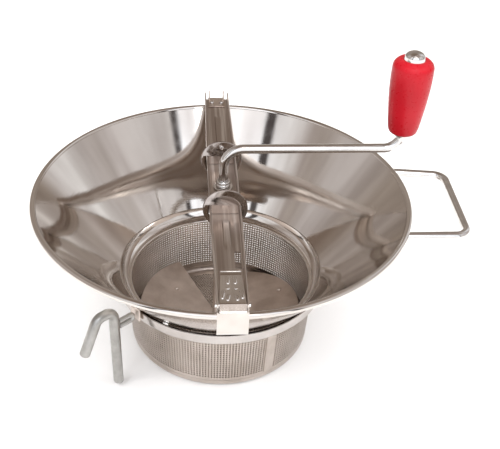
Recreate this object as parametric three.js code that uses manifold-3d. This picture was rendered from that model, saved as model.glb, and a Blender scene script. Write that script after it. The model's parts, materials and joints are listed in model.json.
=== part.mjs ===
// Hand-cranked rotary food mill: a wide steel hopper with a perforated basket under it,
// a crossbar that carries a sprung rotor, and a bent crank with a turning grip.
// Millimetres, +Z up. The origin is the middle of the basket's underside, on the shaft axis.
import * as THREE from 'three';
import { mergeVertices } from 'three/addons/utils/BufferGeometryUtils.js';
import Module from 'manifold-3d';

const wasm = await Module();
wasm.setup();

// ---- Driving dimensions --------------------------------------------------------------------

const FIT = 0.3; // gap between pieces that touch
const ROUND = 64; // segments of the large round pieces
const SMALL_ROUND = 20; // segments of the small round pieces
const SIDES = 12; // sides of a rod's section

const RIM_Z = 175; // height of the hopper's rim
const RIM_RADIUS = 185; // outside of the rolled bead
const BEAD_RADIUS = 3;
const SHEET = 1.4; // hopper sheet
const THROAT_RADIUS = 105; // where the cone meets the throat
const THROAT_Z = 84.6;

const BASKET_RADIUS = 95.6; // outside, just above the floor's rounded edge
const BASKET_TOP_RADIUS = 99.1;
const BASKET_TOP_Z = 72.9;
const BASKET_SHEET = 1.1;
const FLOOR_SHEET = 1.5;
const FLOOR_EDGE = 7; // radius of the rounded bottom edge
const BAND_RADIUS = 109.6;
const BAND_LOW_Z = 72;
const BAND_TOP_Z = 82.6;

const BAYONET_COUNT = 3;
const BAYONET_TWIST = THREE.MathUtils.degToRad(20);
const BAYONET_START = THREE.MathUtils.degToRad(10);
const LUG_WIDTH = 14;
const SEAM_ANGLE = THREE.MathUtils.degToRad(-61.5);
const SEAM_WIDTH = 10;

const BAR_FLOOR_Z = RIM_Z + 2.3; // underside of the crossbar, just above the bead
const BAR_SHEET = 1.5;
const BAR_HEIGHT = 10.5;
const BAR_MIDDLE_WIDTH = 29.5;
const BAR_NEAR_WIDTH = 25.5; // at the latch
const BAR_FAR_WIDTH = 27.5; // at the fixed hook
const BAR_FAR_END = 193;
const BAR_NEAR_END = -184;
const BUSH_RADIUS = 6.8;
const CHEEK_RADIUS = 21;
const CHEEK_SHEET = 2;
const CHEEK_Z = RIM_Z + 9;
const CHEEK_Y = 45;

const SHAFT_RADIUS = 4.5;
const SHAFT_FOOT_Z = 2.6;
const ARM_Z = RIM_Z + 46.7;
const ARM_REACH = 170.3;
const ARM_ANGLE = THREE.MathUtils.degToRad(1.2);
const ARM_BEND = 19;
const PIN_BEND = 16;
const GRIP_FOOT_Z = RIM_Z + 64;
const GRIP_CROWN_Z = RIM_Z + 139;
const CAP_TOP_Z = RIM_Z + 146;

const HUB_RADIUS = 8;
const HUB_TOP_Z = 124;
const BLADE_RADIUS = 90;
const BLADE_SHEET = 2;
const BLADE_TILT = THREE.MathUtils.degToRad(18);
const BLADE_SWEEP = THREE.MathUtils.degToRad(125);
const BLADE_FOOT_Z = 3.6;
const ROTOR_ANGLE = THREE.MathUtils.degToRad(67);
const BLADE_BORE = HUB_RADIUS + 3.2;

const HANDLE_ANGLE = THREE.MathUtils.degToRad(-2.9);
const HANDLE_Z = RIM_Z - 8.4;
const HANDLE_RADIUS = 4.1;
const HANDLE_REACH = 233;
const HANDLE_INNER_HALF = 58.6;
const HANDLE_OUTER_HALF = 54.2;
const HANDLE_BEND = 13;

const HOOK_ANGLE = THREE.MathUtils.degToRad(-139.9);
const HOOK_RADIUS = 5;
const HOOK_NEAR = 137; // inner prong's distance from the shaft axis
const HOOK_FOOT_Z = 4;
const HOOK_TOP_Z = 98.3;
const HOOK_BEND = 9.6;
const HOOK_TIP = { reach: 172.8, z: 62.6 }; // end of the outer prong
const STEM_RADIUS = 2.4;
const STEM_BEND = 3.2;
const STEM_Z = 78.6;

// ---- Materials ------------------------------------------------------------------------------

function metal(color, roughness) {
  return new THREE.MeshStandardMaterial({ color, roughness, metalness: 1 });
}

const mirrorSteel = metal(0xcfcac4, 0.12);
const sheetSteel = metal(0xb9b2aa, 0.28);
const rodSteel = metal(0xd4d2cf, 0.18);
const satinSteel = metal(0xc9c8c4, 0.42);
const redPlastic = new THREE.MeshStandardMaterial({ color: 0xc8202a, roughness: 0.32, metalness: 0 });

// ---- Geometry helpers -----------------------------------------------------------------------

// A closed geometry as a solid that can be joined and cut.
function solidOf(geometry) {
  const bare = geometry.clone();
  bare.deleteAttribute('normal');
  bare.deleteAttribute('uv');
  const merged = mergeVertices(bare, 1e-4);
  const solid = new wasm.Manifold(new wasm.Mesh({
    numProp: 3,
    vertProperties: new Float32Array(merged.attributes.position.array),
    triVerts: new Uint32Array(merged.index.array),
  }));
  return solid;
}

function geometryOf(solid) {
  const mesh = solid.getMesh();
  const geometry = new THREE.BufferGeometry();
  geometry.setAttribute('position', new THREE.BufferAttribute(new Float32Array(mesh.vertProperties), 3));
  geometry.setIndex(new THREE.BufferAttribute(new Uint32Array(mesh.triVerts), 1));
  geometry.computeVertexNormals();
  return geometry;
}

function cut(geometry, ...tools) {
  let solid = solidOf(geometry);
  for (const tool of tools) {
    solid = solid.subtract(solidOf(tool));
  }
  return geometryOf(solid);
}

function join(...geometries) {
  let solid = solidOf(geometries[0]);
  for (const geometry of geometries.slice(1)) {
    solid = solid.add(solidOf(geometry));
  }
  return geometryOf(solid);
}

function common(first, second) {
  return geometryOf(solidOf(first).intersect(solidOf(second)));
}

// Revolves a profile of [radius, height] points about +Z. The profile is a closed outline, or
// starts and ends on the axis.
function turned(profile, segments = ROUND) {
  const points = profile.map(([radius, height]) => new THREE.Vector2(radius, height));
  const onAxis = profile[0][0] === 0 && profile[profile.length - 1][0] === 0;
  if (THREE.ShapeUtils.area(points) < 0) {
    points.reverse();
  }
  if (!onAxis) {
    points.push(points[0].clone());
  }
  const geometry = new THREE.LatheGeometry(points, segments);
  geometry.rotateX(Math.PI / 2);
  return geometry;
}

// Points along a circular arc in a profile, angles in degrees.
function arc(centreRadius, centreHeight, radius, from, to, steps) {
  const points = [];
  for (let i = 0; i <= steps; i += 1) {
    const angle = THREE.MathUtils.degToRad(from + ((to - from) * i) / steps);
    points.push([centreRadius + radius * Math.cos(angle), centreHeight + radius * Math.sin(angle)]);
  }
  return points;
}

function tube(innerRadius, outerRadius, low, high, segments = SMALL_ROUND) {
  return turned([
    [innerRadius, low],
    [outerRadius, low],
    [outerRadius, high],
    [innerRadius, high],
  ], segments);
}

function disc(radius, low, high, segments = SMALL_ROUND) {
  return turned([[0, low], [radius, low], [radius, high], [0, high]], segments);
}

function box(width, depth, height, x, y, z) {
  const geometry = new THREE.BoxGeometry(width, depth, height);
  geometry.translate(x, y, z);
  return geometry;
}

// A flat outline of [x, y] points, raised from low to high.
function slab(points, low, high) {
  const shape = new THREE.Shape(points.map(([x, y]) => new THREE.Vector2(x, y)));
  const geometry = new THREE.ExtrudeGeometry(shape, { depth: high - low, bevelEnabled: false });
  geometry.translate(0, 0, low);
  return geometry;
}

// An outline of [y, z] points, as thick as width and centred on x = 0.
function sideSlab(points, width) {
  const shape = new THREE.Shape(points.map(([y, z]) => new THREE.Vector2(y, z)));
  const geometry = new THREE.ExtrudeGeometry(shape, { depth: width, bevelEnabled: false });
  geometry.translate(0, 0, -width / 2);
  geometry.rotateY(Math.PI / 2);
  geometry.rotateX(Math.PI / 2);
  return geometry;
}

// The centre line of a bent rod: straight runs between corners, each corner a circular bend.
// Its parameter gives every straight run one step and every bend BEND_STEPS of them.
const BEND_STEPS = 6;
class BentRod extends THREE.Curve {
  constructor(corners, bends) {
    super();
    this.stations = [];
    this.directions = [];
    this.addStation(corners[0], corners[1].clone().sub(corners[0]).normalize());
    for (let i = 1; i < corners.length - 1; i += 1) {
      this.addBend(corners[i - 1], corners[i], corners[i + 1], bends[i - 1]);
    }
    const last = corners[corners.length - 1];
    this.addStation(last, last.clone().sub(corners[corners.length - 2]).normalize());
  }

  addStation(point, direction) {
    this.stations.push(point.clone());
    this.directions.push(direction.clone());
  }

  addBend(before, corner, after, radius) {
    const arriving = corner.clone().sub(before).normalize();
    const leaving = after.clone().sub(corner).normalize();
    const turn = arriving.angleTo(leaving);
    const axis = arriving.clone().cross(leaving).normalize();
    const inward = axis.clone().cross(arriving);
    const start = corner.clone().addScaledVector(arriving, -radius * Math.tan(turn / 2));
    const centre = start.clone().addScaledVector(inward, radius);
    for (let i = 0; i <= BEND_STEPS; i += 1) {
      const angle = (turn * i) / BEND_STEPS;
      const spoke = start.clone().sub(centre).applyAxisAngle(axis, angle);
      this.addStation(centre.clone().add(spoke), arriving.clone().applyAxisAngle(axis, angle));
    }
  }

  get steps() {
    return this.stations.length - 1;
  }

  mixed(list, t) {
    const place = Math.min(t * this.steps, this.steps);
    const before = Math.min(Math.floor(place), this.steps - 1);
    return list[before].clone().lerp(list[before + 1], place - before);
  }

  getPoint(t) {
    return this.mixed(this.stations, t);
  }

  getPointAt(t) {
    return this.getPoint(t);
  }

  getTangent(t) {
    return this.mixed(this.directions, t).normalize();
  }

  getTangentAt(t) {
    return this.getTangent(t);
  }
}

function roundSection(radius) {
  const shape = new THREE.Shape();
  shape.absarc(0, 0, radius, 0, Math.PI * 2);
  return shape;
}

function bentRod(corners, bends, radius, sides = SIDES) {
  const path = new BentRod(corners.map((corner) => new THREE.Vector3(...corner)), bends);
  return new THREE.ExtrudeGeometry(roundSection(radius), {
    steps: path.steps,
    curveSegments: sides / 2,
    extrudePath: path,
    bevelEnabled: false,
  });
}

// A point at a distance along a direction in plan and a sideways offset from it.
function alongPlan(angle, distance, sideways, height) {
  return [
    distance * Math.cos(angle) - sideways * Math.sin(angle),
    distance * Math.sin(angle) + sideways * Math.cos(angle),
    height,
  ];
}

const mill = new THREE.Group();

function add(name, geometry, material, parent = mill) {
  const mesh = new THREE.Mesh(geometry, material.clone());
  mesh.name = name;
  parent.add(mesh);
  return mesh;
}

// ---- Hopper ---------------------------------------------------------------------------------

// Slope of the cone: how much the radius grows for each millimetre of height.
const BEAD_CENTRE = [RIM_RADIUS - BEAD_RADIUS, RIM_Z - 1];
const CONE_TOP_RADIUS = BEAD_CENTRE[0] - BEAD_RADIUS + 0.6;
const CONE_SLOPE = (CONE_TOP_RADIUS - THROAT_RADIUS) / (BEAD_CENTRE[1] - THROAT_Z);
const SHEET_ACROSS = SHEET * Math.hypot(1, CONE_SLOPE); // sheet thickness measured level

function coneOutside(height) {
  return THROAT_RADIUS + SHEET_ACROSS + (height - THROAT_Z) * CONE_SLOPE;
}

function hopperBowl() {
  const [beadR, beadZ] = BEAD_CENTRE;
  const underBead = beadZ - BEAD_RADIUS + 0.4;
  return turned([
    [THROAT_RADIUS, THROAT_Z],
    [THROAT_RADIUS + SHEET_ACROSS, THROAT_Z],
    [coneOutside(underBead), underBead],
    ...arc(beadR, beadZ, BEAD_RADIUS, -90, 165, 8),
  ]);
}

// One pressed ring: the sloping lip inside the throat, and outside it the collar with the
// notched flange that the basket's lugs turn under.
function throatRing() {
  const lipBead = 1.7;
  const lipR = 94.7;
  const lipZ = 72.4;
  const top = THROAT_Z - FIT - 0.1;
  const profile = [
    [107, top],
    [107, top - 1.2],
    [104, top - 1.2],
    [104, 75.2],
    [107.6, 75.2],
    [107.6, 73.8],
    [102.8, 73.8],
    [102.8, 81],
    ...arc(lipR, lipZ, lipBead, -30, -225, 5),
    [104.3, top],
  ];
  const notches = [];
  for (let i = 0; i < BAYONET_COUNT; i += 1) {
    const notch = box(6, LUG_WIDTH + 4, 4, 104.2 + 3, 0, 74.5);
    notch.rotateZ(BAYONET_START + BAYONET_TWIST + (i * 2 * Math.PI) / BAYONET_COUNT);
    notches.push(notch);
  }
  return cut(turned(profile), ...notches);
}

function throatRivet(angle) {
  const rivet = disc(3, 0, 1.6, 12);
  rivet.rotateY(Math.PI / 2 + Math.atan(CONE_SLOPE));
  const height = THROAT_Z + 5;
  rivet.translate(coneOutside(height) + FIT, 0, height - FIT);
  rivet.rotateZ(angle);
  return rivet;
}

add('hopper_bowl', hopperBowl(), mirrorSteel);
add('throat_ring', throatRing(), mirrorSteel);
for (const [index, degrees] of [-120, 0, 120].entries()) {
  add(`throat_rivet_${index + 1}`, throatRivet(THREE.MathUtils.degToRad(degrees)), rodSteel);
}

// ---- Loop handle and pot hook ---------------------------------------------------------------

// The space inside the cone's outer face, grown by the gap that welded pieces keep.
function coneTool() {
  const low = THROAT_Z - 4;
  const high = RIM_Z - 2.8;
  return turned([
    [0, low],
    [coneOutside(low) + FIT + 0.1, low],
    [coneOutside(high) + FIT + 0.1, high],
    [0, high],
  ]);
}

function loopHandle() {
  const corner = (distance, sideways) => alongPlan(HANDLE_ANGLE, distance, sideways, HANDLE_Z);
  const loop = bentRod([
    corner(160, HANDLE_INNER_HALF),
    corner(HANDLE_REACH, HANDLE_OUTER_HALF),
    corner(HANDLE_REACH, -HANDLE_OUTER_HALF),
    corner(160, -HANDLE_INNER_HALF),
  ], [HANDLE_BEND, HANDLE_BEND], HANDLE_RADIUS);
  return cut(loop, coneTool());
}

function potHook() {
  const far = HOOK_NEAR + 2 * HOOK_BEND;
  const at = (distance, height) => alongPlan(HOOK_ANGLE, distance, 0, height);
  return bentRod([
    at(HOOK_NEAR, HOOK_FOOT_Z),
    at(HOOK_NEAR, HOOK_TOP_Z),
    at(far - 1, HOOK_TOP_Z),
    at(HOOK_TIP.reach, HOOK_TIP.z),
  ], [HOOK_BEND, HOOK_BEND - 1], HOOK_RADIUS);
}

// A hairpin of thinner rod, one leg above the other, from the hopper's tab to the hook.
function hookStem() {
  const start = HOOK_NEAR - HOOK_RADIUS - FIT - 0.2;
  const half = STEM_BEND + 0.2;
  const at = (distance, height) => alongPlan(HOOK_ANGLE, distance, 0, height);
  return bentRod([
    at(start, STEM_Z + half),
    at(115.6, STEM_Z + half),
    at(115.6, STEM_Z - half),
    at(start, STEM_Z - half),
  ], [STEM_BEND, STEM_BEND], STEM_RADIUS, 10);
}

function hookTab() {
  const tab = sideSlab([
    [110.8, 74],
    [112.6, 74],
    [112.6, 88],
    [118, 94.6],
    [116.6, 95.8],
    [110.8, 88.6],
  ], 13);
  tab.rotateZ(-Math.PI / 2 + HOOK_ANGLE);
  return cut(tab, coneTool());
}

add('loop_handle', loopHandle(), rodSteel);
add('pot_hook', potHook(), satinSteel);
add('pot_hook_stem', hookStem(), satinSteel);
add('pot_hook_tab', hookTab(), sheetSteel);

// ---- Basket ---------------------------------------------------------------------------------

const basket = new THREE.Group();
mill.add(basket);

const WALL_FOOT_Z = 9;
const WALL_SLOPE = (BASKET_TOP_RADIUS - BASKET_RADIUS) / (BASKET_TOP_Z - WALL_FOOT_Z);

function wallOutside(height) {
  return BASKET_RADIUS + (height - WALL_FOOT_Z) * WALL_SLOPE;
}

function sieveWall() {
  return turned([
    [BASKET_RADIUS, WALL_FOOT_Z],
    [BASKET_TOP_RADIUS, BASKET_TOP_Z],
    [BASKET_TOP_RADIUS - BASKET_SHEET, BASKET_TOP_Z],
    [BASKET_RADIUS - BASKET_SHEET, WALL_FOOT_Z],
  ]);
}

function sieveFloor() {
  const centre = BASKET_RADIUS - FLOOR_EDGE;
  return turned([
    [0, 0],
    ...arc(centre, FLOOR_EDGE, FLOOR_EDGE, -90, 0, 4),
    [BASKET_RADIUS, WALL_FOOT_Z - FIT],
    [BASKET_RADIUS - FLOOR_SHEET, WALL_FOOT_Z - FIT],
    ...arc(centre, FLOOR_EDGE, FLOOR_EDGE - FLOOR_SHEET, 0, -90, 3),
    [0, FLOOR_SHEET],
  ]);
}

// The band round the basket's top, with a shoulder inwards and three lugs.
function sieveBand() {
  const inner = BAND_RADIUS - 1.4;
  const ring = turned([
    [BASKET_TOP_RADIUS + FIT, BAND_LOW_Z],
    [BAND_RADIUS - 1, BAND_LOW_Z],
    [BAND_RADIUS, BAND_LOW_Z + 1],
    [BAND_RADIUS, BAND_TOP_Z],
    [inner, BAND_TOP_Z],
    [inner, BAND_LOW_Z + 1.4],
    [BASKET_TOP_RADIUS + FIT, BAND_LOW_Z + 1.4],
  ]);
  const lugs = [];
  for (let i = 0; i < BAYONET_COUNT; i += 1) {
    const lug = box(4.4, LUG_WIDTH, 2.5, 104.5 + 2.2, 0, 77);
    lug.rotateZ(BAYONET_START + (i * 2 * Math.PI) / BAYONET_COUNT);
    lugs.push(lug);
  }
  return join(ring, ...lugs);
}

// The overlap strip where the wall's sheet is joined, leaning with the wall.
function sieveSeam() {
  const low = WALL_FOOT_Z + 2;
  const high = BAND_LOW_Z - 1.5;
  const halfAngle = SEAM_WIDTH / 2 / BASKET_RADIUS;
  const shape = new THREE.Shape();
  shape.absarc(0, 0, 1, -halfAngle, halfAngle, false);
  shape.absarc(0, 0, 1 + 0.7 / BASKET_RADIUS, halfAngle, -halfAngle, true);
  const strip = new THREE.ExtrudeGeometry(shape, {
    depth: high - low,
    steps: 1,
    curveSegments: 4,
    bevelEnabled: false,
  });
  const position = strip.attributes.position;
  for (let i = 0; i < position.count; i += 1) {
    const height = position.getZ(i) + low;
    const grow = wallOutside(height) + FIT;
    position.setXYZ(i, position.getX(i) * grow, position.getY(i) * grow, height);
  }
  strip.rotateZ(SEAM_ANGLE);
  return strip;
}

add('sieve_wall', sieveWall(), sheetSteel, basket);
add('sieve_floor', sieveFloor(), sheetSteel, basket);
add('sieve_band', sieveBand(), mirrorSteel, basket);
add('sieve_seam', sieveSeam(), sheetSteel, basket);
const PIVOT_BORE = SHAFT_RADIUS + FIT;
add('floor_pivot', tube(PIVOT_BORE, 9, FLOOR_SHEET + FIT, 10), rodSteel, basket);

// ---- Crossbar -------------------------------------------------------------------------------

const crossbar = new THREE.Group();
mill.add(crossbar);

const BAR_FLOOR_TOP = BAR_FLOOR_Z + BAR_SHEET;
const BAR_TOP_Z = BAR_FLOOR_Z + BAR_HEIGHT;

// Half the bar's width at a distance along it: wide over the throat, narrower at the rim.
function barHalf(y) {
  const endWidth = y < 0 ? BAR_NEAR_WIDTH : BAR_FAR_WIDTH;
  const narrowing = THREE.MathUtils.smoothstep(Math.abs(y), CHEEK_Y + 5, 180);
  return (BAR_MIDDLE_WIDTH - (BAR_MIDDLE_WIDTH - endWidth) * narrowing) / 2;
}

function barOutline(inset, near, far) {
  const right = [];
  const left = [];
  const steps = 16;
  for (let i = 0; i <= steps; i += 1) {
    const y = near + ((far - near) * i) / steps;
    right.push([barHalf(y) - inset, y]);
    left.unshift([-barHalf(y) + inset, y]);
  }
  return [...right, ...left];
}

// The stiffening rib pressed up along the floor.
function barRib(from, to) {
  const half = 3.5;
  const low = BAR_FLOOR_TOP - 0.4;
  return slab([[-half, from], [half, from], [half, to], [-half, to]], low, BAR_FLOOR_TOP + 1.2);
}

const PLUNGER_SLOT = { x: 8, y: -116, width: 5.5, length: 24 };

function crossbarChannel() {
  const outer = slab(barOutline(0, BAR_NEAR_END, BAR_FAR_END), BAR_FLOOR_Z, BAR_TOP_Z);
  const inside = barOutline(BAR_SHEET, BAR_NEAR_END - 1, BAR_FAR_END + 1);
  const trough = slab(inside, BAR_FLOOR_TOP, BAR_TOP_Z + 1);
  const bushHole = disc(BUSH_RADIUS + 0.4, BAR_FLOOR_Z - 1, BAR_TOP_Z, SMALL_ROUND);
  const slot = box(
    PLUNGER_SLOT.width, PLUNGER_SLOT.length, 6,
    PLUNGER_SLOT.x, PLUNGER_SLOT.y, BAR_FLOOR_Z,
  );
  const pinHole = disc(LATCH_PIN.radius + 0.5, -30, 30, 14);
  pinHole.rotateY(Math.PI / 2);
  pinHole.translate(0, LATCH_PIN.y, LATCH_PIN.z);
  let bar = cut(outer, trough);
  bar = join(bar, barRib(56, 150), barRib(-100, -56));
  return cut(bar, bushHole, slot, pinHole);
}

// ---- Latch at the near end ------------------------------------------------------------------

const LATCH_PIN = { y: -180, z: BAR_FLOOR_TOP + 5, radius: 1.8 };
const LATCH_SHEET = 1.6;
const LEVER_END = -144;

// The latch: a lever inside the bar, and outside the rim an apron with a tongue under the bead.
// Both outlines are seen from the side.
function latch() {
  const eye = 2 * LATCH_PIN.radius;
  const apronY = -RIM_RADIUS - 1.3;
  const outer = apronY - LATCH_SHEET;
  const frontZ = LATCH_PIN.z - 1.4;
  const lever = sideSlab([
    [LEVER_END, BAR_TOP_Z + 1.8],
    [LEVER_END, BAR_TOP_Z - 0.2],
    [LATCH_PIN.y + 8, LATCH_PIN.z - 1.2],
    [LATCH_PIN.y + 2, LATCH_PIN.z - eye],
    [LATCH_PIN.y - 2, LATCH_PIN.z - eye],
    [apronY, BAR_FLOOR_TOP - 0.6],
    [outer, frontZ],
    [outer + 0.8, frontZ + 0.8],
    [LATCH_PIN.y - 2, LATCH_PIN.z + eye - 0.4],
    [LATCH_PIN.y + 2, LATCH_PIN.z + eye],
    [LEVER_END - 5, BAR_TOP_Z + 1.4],
    [LEVER_END - 3, BAR_TOP_Z + 1.8],
  ], 2 * BAR_NEAR_WIDTH);
  const inside = BAR_NEAR_WIDTH / 2 - BAR_SHEET - 0.5;
  const plan = slab([
    [8.5, LEVER_END + 1],
    [-8.5, LEVER_END + 1],
    [-inside, LATCH_PIN.y],
    [-inside, outer - 1],
    [inside, outer - 1],
    [inside, LATCH_PIN.y],
  ], RIM_Z, RIM_Z + 20);
  const apron = sideSlab([
    [apronY, frontZ - 0.2],
    [apronY, RIM_Z - 4.6],
    [apronY + 3, RIM_Z - 4.6],
    [apronY + 3, RIM_Z - 6.1],
    [apronY, RIM_Z - 6.1],
    [apronY, RIM_Z - 13],
    [apronY + 1.6, RIM_Z - 16.4],
    [apronY + 0.2, RIM_Z - 17.2],
    [outer, RIM_Z - 13.4],
    [outer, frontZ - 0.2],
  ], BAR_NEAR_WIDTH);
  const pinHole = disc(LATCH_PIN.radius + FIT, -20, 20, 14);
  pinHole.rotateY(Math.PI / 2);
  pinHole.translate(0, LATCH_PIN.y, LATCH_PIN.z);
  return cut(join(common(lever, plan), apron), pinHole);
}

function latchPin() {
  const half = BAR_NEAR_WIDTH / 2 + 1.6;
  const pin = disc(LATCH_PIN.radius, -half, half, 14);
  pin.rotateY(Math.PI / 2);
  pin.translate(0, LATCH_PIN.y, LATCH_PIN.z);
  return pin;
}

// ---- Cheeks, hook, bush ---------------------------------------------------------------------

// A round plate standing across the bar, cut to slide over its section.
function cheek(y) {
  const plate = disc(CHEEK_RADIUS, -CHEEK_SHEET / 2, CHEEK_SHEET / 2, 36);
  plate.rotateX(Math.PI / 2);
  plate.translate(0, y, CHEEK_Z);
  const half = BAR_MIDDLE_WIDTH / 2;
  const side = BAR_SHEET + 2 * FIT;
  const wall = (sign) => box(
    side, 10, BAR_HEIGHT + 2 * FIT,
    sign * (half - BAR_SHEET / 2), y, BAR_FLOOR_Z + BAR_HEIGHT / 2,
  );
  const floor = box(BAR_MIDDLE_WIDTH, 10, BAR_SHEET + 2 * FIT, 0, y, BAR_FLOOR_Z + BAR_SHEET / 2);
  return cut(plate, wall(-1), wall(1), floor);
}

function cheekStud() {
  const stud = disc(2.2, 0, 2.4, 14);
  stud.rotateX(Math.PI / 2);
  stud.translate(0, CHEEK_Y - CHEEK_SHEET / 2 - FIT, CHEEK_Z + CHEEK_RADIUS - 6);
  return stud;
}

const HOOK_STRAP_SHEET = 1.5;
const HOOK_STRAP_WIDTH = 19;
const HOOK_RIVET_Y = 180;
const HOOK_LIP_Z = RIM_Z - 9;

// The fixed hook at the far end: a strap on the bar's floor that turns down over the bead, a lip
// under it, and two upright ears.
function farHook() {
  const low = BAR_FLOOR_TOP + FIT;
  const high = low + HOOK_STRAP_SHEET;
  const inside = BAR_FAR_END + 0.4;
  const outside = inside + HOOK_STRAP_SHEET;
  const lip = RIM_RADIUS - 1;
  const strap = sideSlab([
    [HOOK_RIVET_Y - 8, low],
    [inside, low],
    [inside, HOOK_LIP_Z],
    [lip, HOOK_LIP_Z],
    [lip, HOOK_LIP_Z - HOOK_STRAP_SHEET],
    [outside, HOOK_LIP_Z - HOOK_STRAP_SHEET],
    [outside, high],
    [HOOK_RIVET_Y - 8, high],
  ], HOOK_STRAP_WIDTH);
  const ear = (sign) => box(1.5, 6, 9, sign * 8.2, inside - 1.5, high + 4);
  return join(strap, ear(-1), ear(1));
}

function hookRivet(x) {
  const rivet = disc(2.6, 0, 1.8, 14);
  rivet.translate(x, HOOK_RIVET_Y, BAR_FLOOR_TOP + FIT + HOOK_STRAP_SHEET + FIT);
  return rivet;
}

function shaftBush() {
  const bore = SHAFT_RADIUS + FIT;
  const flangeLow = BAR_FLOOR_TOP + FIT;
  return turned([
    [bore, BAR_FLOOR_Z - 6],
    [BUSH_RADIUS, BAR_FLOOR_Z - 6],
    [BUSH_RADIUS, flangeLow],
    [9.5, flangeLow],
    [9.5, flangeLow + 1.6],
    [bore, flangeLow + 1.6],
  ], SMALL_ROUND);
}

add('crossbar_channel', crossbarChannel(), mirrorSteel, crossbar);
add('front_cheek', cheek(-CHEEK_Y), mirrorSteel, crossbar);
add('rear_cheek', cheek(CHEEK_Y), mirrorSteel, crossbar);
add('rear_cheek_stud', cheekStud(), rodSteel, crossbar);
add('far_hook', farHook(), sheetSteel, crossbar);
add('hook_rivet_left', hookRivet(-5.6), rodSteel, crossbar);
add('hook_rivet_right', hookRivet(5.6), rodSteel, crossbar);
add('shaft_bush', shaftBush(), rodSteel, crossbar);
add('latch_pin', latchPin(), rodSteel, crossbar);
add('rim_latch', latch(), mirrorSteel, crossbar);

// ---- Spring and its seat --------------------------------------------------------------------

const SPRING_TOP_Z = BAR_FLOOR_Z - 6 - FIT;
const SEAT_LOW_Z = HUB_TOP_Z + FIT;
const SEAT_TOP_Z = SEAT_LOW_Z + 1.6;
const SPRING_WIRE = 0.9;
const SPRING_RADIUS = 7.6;

class Helix extends THREE.Curve {
  constructor(radius, low, high, turns) {
    super();
    Object.assign(this, { radius, low, high, turns });
  }

  getPoint(t) {
    const angle = t * this.turns * Math.PI * 2;
    return new THREE.Vector3(
      this.radius * Math.cos(angle),
      this.radius * Math.sin(angle),
      this.low + (this.high - this.low) * t,
    );
  }
}

function pressureSpring() {
  const turns = 6;
  const low = SEAT_TOP_Z + FIT + SPRING_WIRE;
  const high = SPRING_TOP_Z - SPRING_WIRE;
  return new THREE.ExtrudeGeometry(roundSection(SPRING_WIRE), {
    steps: turns * 10,
    curveSegments: 3,
    extrudePath: new Helix(SPRING_RADIUS, low, high, turns),
    bevelEnabled: false,
  });
}

add('pressure_spring', pressureSpring(), rodSteel, crossbar);
add('spring_seat', tube(SHAFT_RADIUS + FIT, 10, SEAT_LOW_Z, SEAT_TOP_Z), rodSteel, crossbar);

// ---- Crank, rotor and grip ------------------------------------------------------------------

const COTTER_Z = HUB_TOP_Z - 8;
const COTTER_RADIUS = 1.5;

function cotterTool() {
  const tool = disc(COTTER_RADIUS + FIT, -20, 20, 12);
  tool.rotateX(Math.PI / 2);
  tool.translate(0, 0, COTTER_Z);
  return tool;
}

function crankRod() {
  const rod = bentRod([
    [0, 0, SHAFT_FOOT_Z],
    [0, 0, ARM_Z],
    alongPlan(ARM_ANGLE, ARM_REACH, 0, ARM_Z),
    alongPlan(ARM_ANGLE, ARM_REACH, 0, GRIP_CROWN_Z + 2),
  ], [ARM_BEND, PIN_BEND], SHAFT_RADIUS);
  return cut(rod, cotterTool());
}

function cotterPin() {
  const pin = disc(COTTER_RADIUS, -HUB_RADIUS - 3, HUB_RADIUS + 3, 12);
  pin.rotateX(Math.PI / 2);
  pin.translate(0, 0, COTTER_Z);
  return pin;
}

function shaftCollar() {
  const low = BAR_FLOOR_TOP + 2 * FIT + 1.6;
  const bore = SHAFT_RADIUS + FIT;
  return turned([
    [bore, low],
    [6.6, low],
    [7.2, low + 1.4],
    [6.2, low + 3.2],
    [7, low + 4.8],
    [6.2, low + 6.4],
    [bore, low + 6.4],
  ], SMALL_ROUND);
}

function rotorHub() {
  return cut(tube(SHAFT_RADIUS + FIT, HUB_RADIUS, 11, HUB_TOP_Z), cotterTool());
}

// A flat fan-shaped plate that rises from its leading edge, which scrapes the floor.
function rotorBlade(angle) {
  const shape = new THREE.Shape();
  shape.absarc(0, 0, BLADE_RADIUS, -BLADE_SWEEP, 0, false);
  shape.absarc(0, 0, BLADE_BORE, 0, -BLADE_SWEEP, true);
  const blade = new THREE.ExtrudeGeometry(shape, {
    depth: BLADE_SHEET,
    curveSegments: 14,
    bevelEnabled: false,
  });
  blade.rotateX(-BLADE_TILT);
  blade.translate(0, 0, BLADE_FOOT_Z);
  blade.rotateZ(angle);
  return blade;
}

const pinX = ARM_REACH * Math.cos(ARM_ANGLE);
const pinY = ARM_REACH * Math.sin(ARM_ANGLE);

function grip() {
  const bore = SHAFT_RADIUS + FIT;
  const foot = GRIP_FOOT_Z;
  const crown = GRIP_CROWN_Z;
  const recess = 9.6;
  const body = turned([
    [bore, foot],
    ...arc(9, foot + 5, 5, -90, -25, 4),
    [15.6, foot + 18],
    [17.3, foot + 34],
    [18.7, foot + 50],
    [19.2, foot + 60],
    ...arc(19.2 - 9, crown - 9, 9, 0, 78, 5),
    [recess, crown - 0.6],
    [recess, crown - 3.4],
    [bore, crown - 3.4],
  ], 24);
  body.translate(pinX, pinY, 0);
  return body;
}

function gripCap() {
  const foot = GRIP_CROWN_Z - 3.4 + FIT;
  const domeFoot = GRIP_CROWN_Z + 1.6;
  const height = CAP_TOP_Z - domeFoot;
  const radius = 9.2;
  const bore = SHAFT_RADIUS + FIT;
  const dome = [];
  for (let i = 0; i <= 5; i += 1) {
    const angle = (i * Math.PI) / 10;
    dome.push([i === 5 ? 0 : radius * Math.cos(angle), domeFoot + height * Math.sin(angle)]);
  }
  const cap = turned([
    [0, GRIP_CROWN_Z + 2 + FIT],
    [bore, GRIP_CROWN_Z + 2 + FIT],
    [bore, foot],
    [radius, foot],
    ...dome,
  ], 24);
  cap.translate(pinX, pinY, 0);
  return cap;
}

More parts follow.
